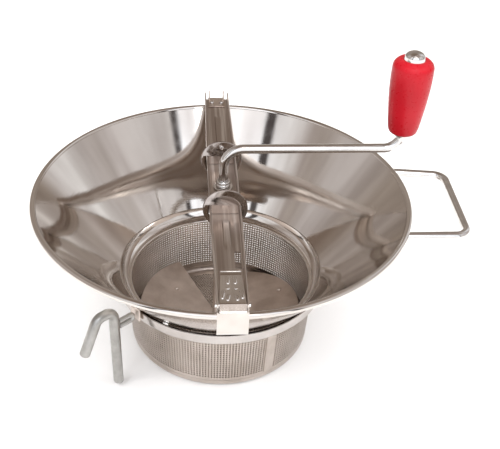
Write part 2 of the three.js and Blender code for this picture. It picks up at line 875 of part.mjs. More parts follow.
function gripWasher() {
  const washer = tube(SHAFT_RADIUS + FIT, 8, GRIP_FOOT_Z - 2.2, GRIP_FOOT_Z - FIT);
  washer.translate(pinX, pinY, 0);
  return washer;
}

const crank = new THREE.Group();
mill.add(crank);
add('crank_rod', crankRod(), rodSteel, crank);
add('shaft_collar', shaftCollar(), rodSteel, crank);
add('rotor_hub', rotorHub(), rodSteel, crank);
add('rotor_blade_1', rotorBlade(ROTOR_ANGLE), sheetSteel, crank);
add('rotor_blade_2', rotorBlade(ROTOR_ANGLE + Math.PI), sheetSteel, crank);
add('cotter_pin', cotterPin(), rodSteel, crank);
add('grip_washer', gripWasher(), rodSteel, crank);
add('grip_cap', gripCap(), rodSteel, crank);
add('grip', grip(), redPlastic, crank);

export default mill;
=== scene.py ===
"""Looks of a large hand-cranked food mill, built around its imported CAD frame."""
import json
import math

import bmesh
import bpy
import numpy as np
from mathutils import Matrix, Vector, geometry


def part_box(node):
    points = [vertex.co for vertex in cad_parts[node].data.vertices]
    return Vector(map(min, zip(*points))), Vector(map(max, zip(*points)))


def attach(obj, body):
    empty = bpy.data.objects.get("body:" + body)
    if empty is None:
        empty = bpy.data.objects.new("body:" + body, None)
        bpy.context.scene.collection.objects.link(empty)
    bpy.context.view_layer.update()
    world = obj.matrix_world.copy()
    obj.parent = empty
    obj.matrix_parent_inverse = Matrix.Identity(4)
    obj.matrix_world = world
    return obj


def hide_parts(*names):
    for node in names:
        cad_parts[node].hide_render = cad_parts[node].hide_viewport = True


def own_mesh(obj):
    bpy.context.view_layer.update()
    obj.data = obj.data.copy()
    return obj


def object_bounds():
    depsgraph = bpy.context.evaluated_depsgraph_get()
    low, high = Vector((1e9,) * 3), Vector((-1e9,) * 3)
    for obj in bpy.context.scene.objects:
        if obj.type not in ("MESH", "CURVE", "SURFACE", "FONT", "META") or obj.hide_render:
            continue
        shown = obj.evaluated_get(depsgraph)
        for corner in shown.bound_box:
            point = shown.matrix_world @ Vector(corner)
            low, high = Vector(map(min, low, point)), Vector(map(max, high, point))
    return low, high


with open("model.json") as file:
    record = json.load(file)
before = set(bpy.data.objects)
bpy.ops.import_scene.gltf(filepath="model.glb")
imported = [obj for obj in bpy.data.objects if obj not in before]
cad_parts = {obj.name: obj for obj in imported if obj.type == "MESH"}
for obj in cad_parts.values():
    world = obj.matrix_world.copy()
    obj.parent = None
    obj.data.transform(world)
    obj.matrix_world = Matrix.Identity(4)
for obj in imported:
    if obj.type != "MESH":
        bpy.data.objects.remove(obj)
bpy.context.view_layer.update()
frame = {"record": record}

MM = 0.001  # pieces are drawn in millimetres
GAP = 0.3  # between pieces that touch
ROUND = 192  # segments of the large round pieces


# ---- The frame's own sizes, in millimetres ---------------------------------------------------

def node_box(name):
    """Lowest and highest corner of a CAD node, in millimetres."""
    low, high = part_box(name)
    return Vector(low) / MM, Vector(high) / MM


bowl_low, bowl_high = node_box("hopper_bowl")
RIM_RADIUS = bowl_high.x
BEAD_RADIUS = 3.0
BEAD_Z = bowl_high.z - BEAD_RADIUS
RIM_Z = BEAD_Z + 1
THROAT_Z = bowl_low.z
THROAT_RADIUS = 105.0
SHEET = 1.4

wall_low, wall_high = node_box("sieve_wall")
WALL_TOP_RADIUS = wall_high.x
WALL_SHEET = 1.1
BASKET_RADIUS = node_box("sieve_floor")[1].x
FLOOR_EDGE = 7.0
FLOOR_SHEET = 1.5
band_low, band_high = node_box("sieve_band")

bar_low, bar_high = node_box("crossbar_channel")
BAR_SHEET = 1.5
BAR_FLOOR_TOP = bar_low.z + BAR_SHEET
BAR_MIDDLE_WIDTH = bar_high.x - bar_low.x
BAR_NEAR_WIDTH = 25.5
BAR_FAR_WIDTH = 27.5
CHEEK_Y = 45.0

SHAFT_RADIUS = 4.5
hub_low, hub_high = node_box("rotor_hub")
grip_low, grip_high = node_box("grip")
PIN_X = (grip_low.x + grip_high.x) / 2
PIN_Y = (grip_low.y + grip_high.y) / 2
ARM_ANGLE = math.atan2(PIN_Y, PIN_X)
ARM_REACH = math.hypot(PIN_X, PIN_Y)
ARM_Z = RIM_Z + 46.7
ARM_BEND = 19.0
PIN_BEND = 16.0
LATCH_PIN_Y = -180.0
LATCH_PIN_Z = BAR_FLOOR_TOP + 5
LATCH_PIN_RADIUS = 1.8


# ---- Camera ----------------------------------------------------------------------------------

CAMERA_AZIMUTH = math.radians(-5.8)
CAMERA_ELEVATION = math.radians(35.26)
CAMERA_ROLL = math.radians(3.04)
CAMERA_DISTANCE = 760.0
CAMERA_ASIDE = (26.6, -33.35)
CAMERA_LENS = 55.6


def make_camera():
    """Looks past the middle of the rim, so that the mill sits a little left and high in view."""
    back = Vector((
        math.sin(CAMERA_AZIMUTH) * math.cos(CAMERA_ELEVATION),
        -math.cos(CAMERA_AZIMUTH) * math.cos(CAMERA_ELEVATION),
        math.sin(CAMERA_ELEVATION),
    ))
    level = Vector((math.cos(CAMERA_AZIMUTH), math.sin(CAMERA_AZIMUTH), 0))
    upright = back.cross(level)
    right = math.cos(CAMERA_ROLL) * level + math.sin(CAMERA_ROLL) * upright
    up = math.cos(CAMERA_ROLL) * upright - math.sin(CAMERA_ROLL) * level
    place = Vector((0, 0, RIM_Z)) + back * CAMERA_DISTANCE
    place += right * CAMERA_ASIDE[0] + up * CAMERA_ASIDE[1]
    data = bpy.data.cameras.new("camera")
    data.lens = CAMERA_LENS
    data.sensor_width = 36
    camera = bpy.data.objects.new("camera", data)
    bpy.context.scene.collection.objects.link(camera)
    matrix = Matrix((right, up, back)).transposed().to_4x4()
    matrix.translation = place * MM
    camera.matrix_world = matrix
    bpy.context.scene.camera = camera


# ---- Materials -------------------------------------------------------------------------------

class Look:
    """A Principled material and short ways to add nodes to it."""

    def __init__(self, name, metallic, roughness):
        self.material = bpy.data.materials.new(name)
        self.material.use_nodes = True
        self.tree = self.material.node_tree
        self.shader = self.tree.nodes["Principled BSDF"]
        self.shader.inputs["Metallic"].default_value = metallic
        self.shader.inputs["Roughness"].default_value = roughness
        self.place = self.node("ShaderNodeTexCoord").outputs["Object"]

    def node(self, kind, **settings):
        made = self.tree.nodes.new(kind)
        for key, value in settings.items():
            setattr(made, key, value)
        return made

    def link(self, source, target):
        self.tree.links.new(source, target)

    def stretched(self, scale):
        mapping = self.node("ShaderNodeMapping")
        mapping.inputs["Scale"].default_value = scale
        self.link(self.place, mapping.inputs["Vector"])
        return mapping.outputs["Vector"]

    def noise(self, scale, detail=3.0, stretch=None):
        texture = self.node("ShaderNodeTexNoise")
        texture.inputs["Scale"].default_value = scale
        texture.inputs["Detail"].default_value = detail
        source = self.place if stretch is None else self.stretched(stretch)
        self.link(source, texture.inputs["Vector"])
        return texture.outputs["Fac"]

    def ranged(self, value, low, high, start=0.35, end=0.65):
        """Maps a texture's middle values onto low to high."""
        ramp = self.node("ShaderNodeMapRange")
        ramp.inputs["From Min"].default_value = start
        ramp.inputs["From Max"].default_value = end
        ramp.inputs["To Min"].default_value = low
        ramp.inputs["To Max"].default_value = high
        self.link(value, ramp.inputs["Value"])
        return ramp.outputs["Result"]

    def tinted(self, value, first, second):
        mix = self.node("ShaderNodeMix", data_type="RGBA")
        mix.inputs["A"].default_value = (*first, 1)
        mix.inputs["B"].default_value = (*second, 1)
        self.link(value, mix.inputs["Factor"])
        self.link(mix.outputs["Result"], self.shader.inputs["Base Color"])

    def roughened(self, value, low, high):
        self.link(self.ranged(value, low, high), self.shader.inputs["Roughness"])

    def bumped(self, layers):
        """Stacks (height, strength, distance) bumps."""
        normal = None
        for height, strength, distance in layers:
            bump = self.node("ShaderNodeBump")
            bump.inputs["Strength"].default_value = strength
            bump.inputs["Distance"].default_value = distance
            self.link(height, bump.inputs["Height"])
            if normal is not None:
                self.link(normal, bump.inputs["Normal"])
            normal = bump.outputs["Normal"]
        self.link(normal, self.shader.inputs["Normal"])


def spun_rings(look, scale):
    """Fine turning marks: noise that depends on the distance from the shaft axis and on height."""
    split = look.node("ShaderNodeSeparateXYZ")
    look.link(look.place, split.inputs["Vector"])
    flat = look.node("ShaderNodeCombineXYZ")
    look.link(split.outputs["X"], flat.inputs["X"])
    look.link(split.outputs["Y"], flat.inputs["Y"])
    radius = look.node("ShaderNodeVectorMath", operation="LENGTH")
    look.link(flat.outputs["Vector"], radius.inputs[0])
    along = look.node("ShaderNodeCombineXYZ")
    look.link(radius.outputs["Value"], along.inputs["X"])
    look.link(split.outputs["Z"], along.inputs["Y"])
    texture = look.node("ShaderNodeTexNoise")
    texture.inputs["Scale"].default_value = scale
    texture.inputs["Detail"].default_value = 4
    look.link(along.outputs["Vector"], texture.inputs["Vector"])
    return texture.outputs["Fac"]


def polished_sheet():
    look = Look("polished_sheet", 1.0, 0.06)
    look.tinted(look.ranged(look.noise(9), 0, 1), (0.77, 0.73, 0.69), (0.68, 0.635, 0.595))
    look.roughened(look.noise(60, 5), 0.03, 0.09)
    dents = (look.noise(10, 2), 0.12, 0.004)
    rings = (spun_rings(look, 900), 0.04, 0.0004)
    grain = (look.noise(700, 2), 0.015, 0.0003)
    look.bumped([dents, rings, grain])
    return look.material


def bar_sheet_painted_reflection():
    """Sheet with long drawing marks in its bump, and long darker and lighter bands in its colour
    that are painted reflection streaks.
    """
    look = Look("bar_sheet_painted_reflection", 1.0, 0.2)
    drawing_marks_and_painted_reflection = look.noise(210, 2, stretch=(1, 0.02, 1))
    streaks = look.ranged(drawing_marks_and_painted_reflection, 0, 1, 0.38, 0.60)
    # Painted reflection: the colour runs darker and lighter in long bands along the bar.
    look.tinted(streaks, (0.46, 0.39, 0.345), (0.84, 0.79, 0.74))
    fine = look.noise(600, 3, stretch=(1, 0.03, 1))
    look.roughened(fine, 0.28, 0.42)
    look.bumped([(drawing_marks_and_painted_reflection, 0.35, 0.0012), (fine, 0.12, 0.0004)])
    return look.material


def plate_sheet(name, light, dark):
    look = Look(name, 1.0, 0.12)
    look.tinted(look.ranged(look.noise(25), 0, 1), light, dark)
    fine = look.noise(500, 3, stretch=(1, 0.1, 0.3))
    look.roughened(fine, 0.08, 0.17)
    look.bumped([(look.noise(40, 2), 0.3, 0.0012), (fine, 0.05, 0.0003)])
    return look.material


def rolled_sheet(name, dark, light, smoothest, roughest):
    look = Look(name, 1.0, roughest)
    look.tinted(look.ranged(look.noise(40, 4), 0, 1), light, dark)
    grain = look.noise(420, 4, stretch=(1, 1, 0.3))
    look.roughened(grain, smoothest, roughest)
    look.bumped([(grain, 0.05, 0.0003), (look.noise(70, 2), 0.15, 0.0008)])
    return look.material


def plain_look(name, metallic, roughness, tint, rough, *bumps):
    """A look made of plain noises. tint is (scale, detail, first, second) and rough is (scale,
    detail, low, high) or None. Each bump is (scale, detail, strength, distance)."""
    look = Look(name, metallic, roughness)
    scale, detail, first, second = tint
    look.tinted(look.ranged(look.noise(scale, detail), 0, 1), first, second)
    if rough:
        scale, detail, low, high = rough
        look.roughened(look.noise(scale, detail), low, high)
    look.bumped([
        (look.noise(scale, detail), strength, distance)
        for scale, detail, strength, distance in bumps
    ])
    return look


def red_plastic():
    look = plain_look(
        "red_plastic", 0.0, 0.3, (35, 3, (0.47, 0.007, 0.016), (0.41, 0.005, 0.012)),
        (420, 4, 0.26, 0.40), (55, 2, 0.12, 0.001), (1600, 2, 0.05, 0.0002),
    )
    look.shader.inputs["Specular IOR Level"].default_value = 0.3
    return look.material


def floor_paper():
    return plain_look(
        "floor_paper", 0.0, 0.7, (3, 3, (0.93, 0.93, 0.925), (0.915, 0.915, 0.91)),
        None, (500, 3, 0.05, 0.0004),
    ).material


cheek_sheet = plate_sheet("cheek_sheet", (0.50, 0.44, 0.40), (0.38, 0.33, 0.30))
LOOKS = {
    "polished_steel": polished_sheet(),
    "bar_steel": bar_sheet_painted_reflection(),
    "sheet_steel": rolled_sheet(
        "rolled_sheet", (0.64, 0.55, 0.485), (0.84, 0.75, 0.68), 0.34, 0.48,
    ),
    "sieve_steel": rolled_sheet(
        "sieve_sheet", (0.48, 0.415, 0.365), (0.59, 0.52, 0.47), 0.28, 0.40,
    ),
    "rod_steel": plain_look(
        "polished_rod", 1.0, 0.1, (80, 3, (0.80, 0.78, 0.76), (0.70, 0.68, 0.66)),
        (350, 4, 0.07, 0.17), (160, 2, 0.10, 0.0005), (1500, 2, 0.03, 0.0002),
    ).material,
    "satin_rod": plain_look(
        "satin_rod", 1.0, 0.38, (60, 4, (0.47, 0.46, 0.44), (0.37, 0.36, 0.34)),
        (240, 4, 0.28, 0.46), (90, 3, 0.25, 0.0008), (900, 3, 0.1, 0.0003),
    ).material,
    "spring_steel": plain_look(
        "spring_wire", 1.0, 0.3, (150, 3, (0.52, 0.50, 0.47), (0.38, 0.36, 0.34)),
        None, (900, 3, 0.2, 0.0002),
    ).material,
    "red_plastic": red_plastic(),
}
# Pieces that are finished a little differently from the rest of their slot. The band's look is a
# darker copy of the rolled sheet: painted shade that keeps its bright reflection down.
PIECE_LOOKS = {
    "front_cheek": cheek_sheet,
    "rear_cheek": cheek_sheet,
    "rim_latch": plate_sheet("latch_sheet", (0.76, 0.72, 0.68), (0.60, 0.55, 0.51)),
    # Painted shade: the band's sheet is a darker copy of the rolled sheet, so that it shows less
    # bright.
    "sieve_band": rolled_sheet(
        "band_sheet_painted_shade", (0.50, 0.46, 0.435), (0.62, 0.58, 0.555), 0.12, 0.22,
    ),
}
SLOT_OF = {row["node"]: row["material_slot"] for row in frame["record"]["subparts"]}
BODY_OF = {
    node: body
    for body, nodes in frame["record"]["behaviour"]["bodies"].items()
    for node in nodes
}


# ---- Mesh helpers ----------------------------------------------------------------------------

def smooth(obj, crease=32):
    """Smooth shading with a crease on every edge that turns more than crease degrees."""
    work = bmesh.new()
    work.from_mesh(obj.data)
    limit = math.radians(crease)
    for face in work.faces:
        face.smooth = True
    for edge in work.edges:
        edge.smooth = len(edge.link_faces) == 2 and edge.calc_face_angle(0) < limit
    work.to_mesh(obj.data)
    work.free()
    return obj


def mesh_object(name, vertices, faces, crease=32):
    """A mesh from points in millimetres."""
    mesh = bpy.data.meshes.new(name)
    mesh.from_pydata([Vector(point) * MM for point in vertices], [], faces)
    mesh.update()
    obj = bpy.data.objects.new(name, mesh)
    bpy.context.scene.collection.objects.link(obj)
    return smooth(obj, crease)


def apply_modifiers(obj):
    """Bakes an object's modifiers into its mesh."""
    graph = bpy.context.evaluated_depsgraph_get()
    graph.update()
    mesh = bpy.data.meshes.new_from_object(obj.evaluated_get(graph))
    obj.modifiers.clear()
    obj.data = mesh
    return obj


def combined(obj, operation, *others):
    """Adds, crosses or cuts obj with the others, and deletes them."""
    for other in others:
        modifier = obj.modifiers.new("combined", "BOOLEAN")
        modifier.operation = operation
        modifier.solver = "EXACT"
        modifier.object = other
    apply_modifiers(obj)
    for other in others:
        bpy.data.objects.remove(other)
    return obj


def carve(obj, *cutters):
    return combined(obj, "DIFFERENCE", *cutters)


def soften(obj, width, crease=32, segments=2):
    """Rounds every crease by width millimetres."""
    modifier = obj.modifiers.new("soften", "BEVEL")
    modifier.width = width * MM
    modifier.segments = segments
    modifier.limit_method = "ANGLE"
    modifier.angle_limit = math.radians(crease)
    modifier.harden_normals = True
    modifier.use_clamp_overlap = True
    return apply_modifiers(obj)


def finished(obj, node, *more_nodes):
    """Gives a piece the look, the slot and the body of the CAD node that it stands for."""
    obj.data.materials.clear()
    obj.data.materials.append(PIECE_LOOKS.get(node, LOOKS[SLOT_OF[node]]))
    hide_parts(node, *more_nodes)
    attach(obj, BODY_OF[node])
    return obj


def arc(centre, radius, start, end, steps):
    """Points on a circular arc; angles in degrees."""
    angles = [math.radians(start + (end - start) * i / steps) for i in range(steps + 1)]
    return [(centre[0] + radius * math.cos(a), centre[1] + radius * math.sin(a)) for a in angles]


def curve_between(start, pull, end, steps):
    """Points of a bend from start to end that leans towards pull."""
    points = []
    for i in range(steps + 1):
        t = i / steps
        points.append(tuple(
            a * (1 - t) ** 2 + b * 2 * t * (1 - t) + c * t ** 2
            for a, b, c in zip(start, pull, end)
        ))
    return points


def rounded(outline, radius, steps=4):
    """Rounds the corners of a closed outline of (x, y) points. radius is one number or a list."""
    radii = radius if isinstance(radius, (list, tuple)) else [radius] * len(outline)
    result = []
    for index, corner in enumerate(outline):
        here = Vector(corner)
        before = Vector(outline[index - 1])
        after = Vector(outline[(index + 1) % len(outline)])
        arriving = (here - before).normalized()
        leaving = (after - here).normalized()
        turn = arriving.angle(leaving)
        reach = radii[index] * math.tan(turn / 2)
        reach = min(reach, 0.49 * (here - before).length, 0.49 * (after - here).length)
        if reach < 0.02:
            result.append(tuple(here))
            continue
        first = here - arriving * reach
        last = here + leaving * reach
        for i in range(steps + 1):
            t = i / steps
            result.append(tuple(first * (1 - t) ** 2 + here * 2 * t * (1 - t) + last * t ** 2))
    return result


def profile_area(points):
    """Area inside a closed outline, negative where it runs clockwise."""
    crossed = [
        points[i - 1][0] * points[i][1] - points[i][0] * points[i - 1][1]
        for i in range(len(points))
    ]
    return sum(crossed) / 2


def revolved(name, profile, segments=ROUND, centre=(0, 0), crease=32):
    """Turns an outline of (radius, height) points about a vertical axis. The outline is closed,
    or starts and ends on the axis."""
    points = list(profile)
    if profile_area(points) < 0:
        points.reverse()
    vertices = []
    rings = []
    for radius, height in points:
        if radius < 1e-6:
            rings.append([len(vertices)] * segments)
            vertices.append((centre[0], centre[1], height))
            continue
        rings.append(list(range(len(vertices), len(vertices) + segments)))
        for i in range(segments):
            angle = 2 * math.pi * i / segments
            x = centre[0] + radius * math.cos(angle)
            y = centre[1] + radius * math.sin(angle)
            vertices.append((x, y, height))
    on_axis = points[0][0] < 1e-6 and points[-1][0] < 1e-6
    pairs = list(zip(rings, rings[1:]))
    if not on_axis:
        pairs.append((rings[-1], rings[0]))
    faces = []
    for lower, upper in pairs:
        for i in range(segments):
            j = (i + 1) % segments
            corners = [lower[i], lower[j], upper[j], upper[i]]
            faces.append([c for k, c in enumerate(corners) if c != corners[k - 1]])
    return mesh_object(name, vertices, faces, crease)


def extruded(name, outline, low, high, axis="Z", edge=0.3, crease=32):
    """Raises a flat outline from low to high along an axis. The outline's two coordinates are
    (x, y) for Z, (y, z) for X and (x, z) for Y."""
    points = list(outline)
    if profile_area(points) < 0:
        points.reverse()
    if axis == "Y":
        points.reverse()
    count = len(points)
    place = {
        "Z": lambda p, h: (p[0], p[1], h),
        "X": lambda p, h: (h, p[0], p[1]),
        "Y": lambda p, h: (p[0], h, p[1]),
    }[axis]
    vertices = [place(p, low) for p in points] + [place(p, high) for p in points]
    faces = [list(range(count))[::-1], list(range(count, 2 * count))]
    for i in range(count):
        j = (i + 1) % count
        faces.append([i, j, count + j, count + i])
    obj = mesh_object(name, vertices, faces, crease)
    if edge:
        soften(obj, edge, crease)
    return obj


def bent_path(corners, bends, steps=14):
    """Points along straight runs joined by circular bends."""
    points = [Vector(corner) for corner in corners]
    path = [points[0]]
    for before, corner, after, radius in zip(points, points[1:], points[2:], bends):
        arriving = (corner - before).normalized()
        leaving = (after - corner).normalized()
        turn = arriving.angle(leaving)
        axis = arriving.cross(leaving).normalized()
        start = corner - arriving * radius * math.tan(turn / 2)
        centre = start + axis.cross(arriving) * radius
        for i in range(steps + 1):
            path.append(centre + Matrix.Rotation(turn * i / steps, 3, axis) @ (start - centre))
    path.append(points[-1])
    return path


def swept(name, path, radius, sides=28, end=1.2):
    """A round rod along a path, with rounded ends."""
    tangents = []
    for i in range(len(path)):
        ahead = path[min(i + 1, len(path) - 1)]
        behind = path[max(i - 1, 0)]
        tangents.append((ahead - behind).normalized())
    side = tangents[0].orthogonal().normalized()
    stations = []
    for i, point in enumerate(path):
        if i:
            side = tangents[i - 1].rotation_difference(tangents[i]) @ side
            side = (side - tangents[i] * side.dot(tangents[i])).normalized()
        stations.append((point, tangents[i], side, radius))
    steps = 4
    first, last = stations[0], stations[-1]
    stations[0] = (first[0] + first[1] * end, *first[1:])
    stations[-1] = (last[0] - last[1] * end, *last[1:])
    head = []
    tail = []
    for i in range(steps, 0, -1):
        angle = math.pi / 2 * i / steps
        shift = end * (1 - math.sin(angle))
        size = radius - end * (1 - math.cos(angle))
        head.append((first[0] + first[1] * shift, first[1], first[2], size))
        tail.insert(0, (last[0] - last[1] * shift, last[1], last[2], size))
    stations = head + stations + tail
    vertices = []
    for point, tangent, side, size in stations:
        other = tangent.cross(side)
        for k in range(sides):
            angle = 2 * math.pi * k / sides
            vertices.append(point + (side * math.cos(angle) + other * math.sin(angle)) * size)
    faces = []
    for i in range(len(stations) - 1):
        for k in range(sides):
            j = (k + 1) % sides
            here = i * sides
            after = here + sides
            faces.append([here + k, here + j, after + j, after + k])
    faces.append(list(range(sides))[::-1])
    top = (len(stations) - 1) * sides
    faces.append(list(range(top, top + sides)))
    return mesh_object(name, vertices, faces, 60)


def in_plan(angle, distance, sideways, height):
    """A point at a distance along a direction in plan and a sideways offset from it."""
    return Vector((
        distance * math.cos(angle) - sideways * math.sin(angle),
        distance * math.sin(angle) + sideways * math.cos(angle),
        height,
    ))


def block(name, low, high):
    """A plain box between two corners, to cut with."""
    outline = [(low[0], low[1]), (high[0], low[1]), (high[0], high[1]), (low[0], high[1])]
    return extruded(name, outline, low[2], high[2], edge=0)


# ---- Hopper ----------------------------------------------------------------------------------

CONE_TOP_RADIUS = RIM_RADIUS - 2 * BEAD_RADIUS + 0.6
CONE_SLOPE = (CONE_TOP_RADIUS - THROAT_RADIUS) / (BEAD_Z - THROAT_Z)
SHEET_ACROSS = SHEET * math.hypot(1, CONE_SLOPE)


def cone_inside(height):
    return THROAT_RADIUS + (height - THROAT_Z) * CONE_SLOPE


def cone_outside(height):
    return cone_inside(height) + SHEET_ACROSS


def cone_filler(name):
    """A solid cone just outside the hopper, to cut other pieces back to it."""
    low = THROAT_Z - 4
    high = RIM_Z - 2.8
    outline = [
        (0, low), (cone_outside(low) + GAP, low), (cone_outside(high) + GAP, high), (0, high),
    ]
    return revolved(name, outline, 128)


def make_bowl():
    bead = (RIM_RADIUS - BEAD_RADIUS, BEAD_Z)
    steps = 24

    def heights(top):
        return [THROAT_Z + (top - THROAT_Z) * i / steps for i in range(steps + 1)]

    outer = [(cone_outside(height), height) for height in heights(BEAD_Z - BEAD_RADIUS + 0.4)]
    inner = [(cone_inside(height), height) for height in heights(BEAD_Z + 0.4)]
    profile = outer + arc(bead, BEAD_RADIUS, -90, 165, 28) + inner[::-1]
    return finished(revolved("bowl_skin", profile, 256), "hopper_bowl")


def make_throat():
    """The lip inside the throat, a collar outside it, and a flange with three notches."""
    top = THROAT_Z - GAP - 0.1
    lip = (94.7, 72.4)
    funnel = curve_between((95.6, 74.0), (101.4, 76.6), (THROAT_RADIUS - 0.7, top), 14)
    profile = [
        (107, top), (107, top - 1.2), (104, top - 1.2), (104, 75.2), (107.6, 75.2), (107.6, 73.8),
        (102.8, 73.8), (102.8, 76.2), (98.2, 73.6), *arc(lip, 1.7, -30, -290, 20), *funnel,
    ]
    throat = revolved("throat_lip", profile)
    notches = []
    for i in range(3):
        notch = block(f"notch_{i}", (104.2, -9, 72.5), (110, 9, 76.5))
        notch.matrix_world = Matrix.Rotation(math.radians(30 + 120 * i), 4, "Z")
        notches.append(notch)
    carve(throat, *notches)
    return finished(smooth(throat), "throat_ring")


def make_throat_rivets():
    for index, degrees in enumerate((-120, 0, 120)):
        profile = [(0, 0), (3, 0), (3, 0.3), *arc((1.6, 0.3), 1.4, 0, 80, 6), (0, 1.75)]
        rivet = revolved(f"throat_rivet_head_{index + 1}", profile, 32)
        height = THROAT_Z + 5
        tilt = Matrix.Rotation(math.pi / 2 + math.atan(CONE_SLOPE), 4, "Y")
        shift = Matrix.Translation(Vector((cone_outside(height) + GAP, 0, height - GAP)) * MM)
        spin = Matrix.Rotation(math.radians(degrees), 4, "Z")
        rivet.data.transform(spin @ shift @ tilt)
        finished(rivet, f"throat_rivet_{index + 1}")


HANDLE_ANGLE = math.radians(-2.9)
HANDLE_Z = RIM_Z - 8.4
HANDLE_ROD = 4.1
HANDLE_REACH = 233.0
HANDLE_ROOT = 160.0
HANDLE_ROOT_HALF = 58.6
HANDLE_END_HALF = 54.2
HANDLE_BEND = 13.0


def make_loop_handle():
    start = HANDLE_ROOT + 6
    lean = (HANDLE_ROOT_HALF - HANDLE_END_HALF) / (HANDLE_REACH - HANDLE_ROOT)
    half_at_start = HANDLE_ROOT_HALF - lean * (start - HANDLE_ROOT)
    corners = [
        in_plan(HANDLE_ANGLE, start, half_at_start, HANDLE_Z),
        in_plan(HANDLE_ANGLE, HANDLE_REACH, HANDLE_END_HALF, HANDLE_Z),
        in_plan(HANDLE_ANGLE, HANDLE_REACH, -HANDLE_END_HALF, HANDLE_Z),
        in_plan(HANDLE_ANGLE, start, -half_at_start, HANDLE_Z),
    ]
    loop = swept("handle_rod", bent_path(corners, [HANDLE_BEND] * 2), HANDLE_ROD)
    carve(loop, cone_filler("handle_trim"))
    return finished(smooth(loop, 40), "loop_handle")


HOOK_ANGLE = math.radians(-139.9)
HOOK_ROD = 5.0
HOOK_NEAR = 137.0
HOOK_BEND = 9.6
HOOK_FOOT_Z = 4.0
HOOK_TOP_Z = 98.3
HOOK_TIP = (172.8, 62.6)
STEM_Z = 78.6
STEM_NEAR = 115.6
STEM_HALF = 3.4
STEM_BEND = 3.2
STEM_ROD = 2.4
TAB_HALF = 6.5


def make_pot_hook():
    far = HOOK_NEAR + 2 * HOOK_BEND
    corners = [
        in_plan(HOOK_ANGLE, HOOK_NEAR, 0, HOOK_FOOT_Z),
        in_plan(HOOK_ANGLE, HOOK_NEAR, 0, HOOK_TOP_Z),
        in_plan(HOOK_ANGLE, far - 1, 0, HOOK_TOP_Z),
        in_plan(HOOK_ANGLE, HOOK_TIP[0], 0, HOOK_TIP[1]),
    ]
    path = bent_path(corners, [HOOK_BEND, HOOK_BEND - 1], 20)
    finished(swept("hook_rod", path, HOOK_ROD, end=2.4), "pot_hook")
    start = HOOK_NEAR - HOOK_ROD - GAP - 0.2
    corners = [
        in_plan(HOOK_ANGLE, start, 0, STEM_Z + STEM_HALF),
        in_plan(HOOK_ANGLE, STEM_NEAR, 0, STEM_Z + STEM_HALF),
        in_plan(HOOK_ANGLE, STEM_NEAR, 0, STEM_Z - STEM_HALF),
        in_plan(HOOK_ANGLE, start, 0, STEM_Z - STEM_HALF),
    ]
    stem = swept("hook_hairpin", bent_path(corners, [STEM_BEND] * 2, 10), STEM_ROD, 20, end=0.5)
    finished(stem, "pot_hook_stem")
    outline = [(110.8, 74), (112.6, 74), (112.6, 88), (118, 94.6), (116.6, 95.8), (110.8, 88.6)]
    tab = extruded("hook_tab", outline, -TAB_HALF, TAB_HALF, axis="X")
    tab.data.transform(Matrix.Rotation(-math.pi / 2 + HOOK_ANGLE, 4, "Z"))
    carve(tab, cone_filler("tab_trim"))
    return finished(smooth(tab), "pot_hook_tab")


# ---- Basket ----------------------------------------------------------------------------------

WALL_SLOPE = (WALL_TOP_RADIUS - BASKET_RADIUS) / (wall_high.z - wall_low.z)
HOLE_PITCH = 2.9
HOLE_RADIUS = 1.08
WALL_FOOT_BAND = 3.5  # plain height below the holes
WALL_HEAD_BAND = 4.5
SEAM_ANGLE = math.radians(-61.5)
SEAM_WIDTH = 10.0


def wall_outside(height):
    return BASKET_RADIUS + (height - wall_low.z) * WALL_SLOPE


def make_sieve_wall():
    """A grid of small square cells wrapped round the wall, each with an eight-sided hole. The
    bands at the top and bottom and the stretch behind the seam stay plain."""
    columns = int(2 * math.pi * BASKET_RADIUS / HOLE_PITCH)
    low = wall_low.z + WALL_FOOT_BAND
    high = wall_high.z - WALL_HEAD_BAND
    rows = int((high - low) / HOLE_PITCH)
    holed_levels = [low + (high - low) * i / rows for i in range(rows + 1)]
    levels = [wall_low.z, *holed_levels, wall_high.z]
    step = 2 * math.pi / columns
    vertices = []
    faces = []

    def add(angle, height, inside):
        radius = wall_outside(height) - (WALL_SHEET if inside else 0)
        vertices.append((radius * math.cos(angle), radius * math.sin(angle), height))
        return len(vertices) - 1

    def ring(level, inside):
        return [add(SEAM_ANGLE + column * step, level, inside) for column in range(columns)]

    grids = [[ring(level, inside) for level in levels] for inside in (False, True)]
    plain = {columns - 2, columns - 1, 0, 1}
    for row in range(len(levels) - 1):
        holed = 0 < row < len(levels) - 2
        for column in range(columns):
            after = (column + 1) % columns
            loops = []
            for side, grid in enumerate(grids):
                here, above = grid[row], grid[row + 1]
                corners = [here[column], here[after], above[after], above[column]]
                if not holed or column in plain:
                    faces.append(corners if side == 0 else corners[::-1])
                    continue
                middle_angle = SEAM_ANGLE + (column + 0.5) * step
                middle_height = (levels[row] + levels[row + 1]) / 2
                loop = []
                for k in range(8):
                    angle = math.radians(-135 + 45 * k)
                    across = HOLE_RADIUS * math.cos(angle) / BASKET_RADIUS
                    up = HOLE_RADIUS * math.sin(angle)
                    loop.append(add(middle_angle + across, middle_height + up, side))
                loops.append(loop)
                for k in range(4):
                    first, second = corners[k], corners[(k + 1) % 4]
                    a, b, c = loop[2 * k], loop[2 * k + 1], loop[(2 * k + 2) % 8]
                    for face in ([first, second, b], [first, b, a], [second, c, b]):
                        faces.append(face if side == 0 else face[::-1])
            if loops:
                outer, inner = loops
                for k in range(8):
                    j = (k + 1) % 8
                    faces.append([outer[k], outer[j], inner[j], inner[k]])
    for row, flip in ((0, False), (len(levels) - 1, True)):
        for column in range(columns):
            after = (column + 1) % columns
            outer, inner = grids[0][row], grids[1][row]
            face = [outer[after], outer[column], inner[column], inner[after]]
            faces.append(face[::-1] if flip else face)
    return finished(mesh_object("sieve_mesh", vertices, faces, 40), "sieve_wall")


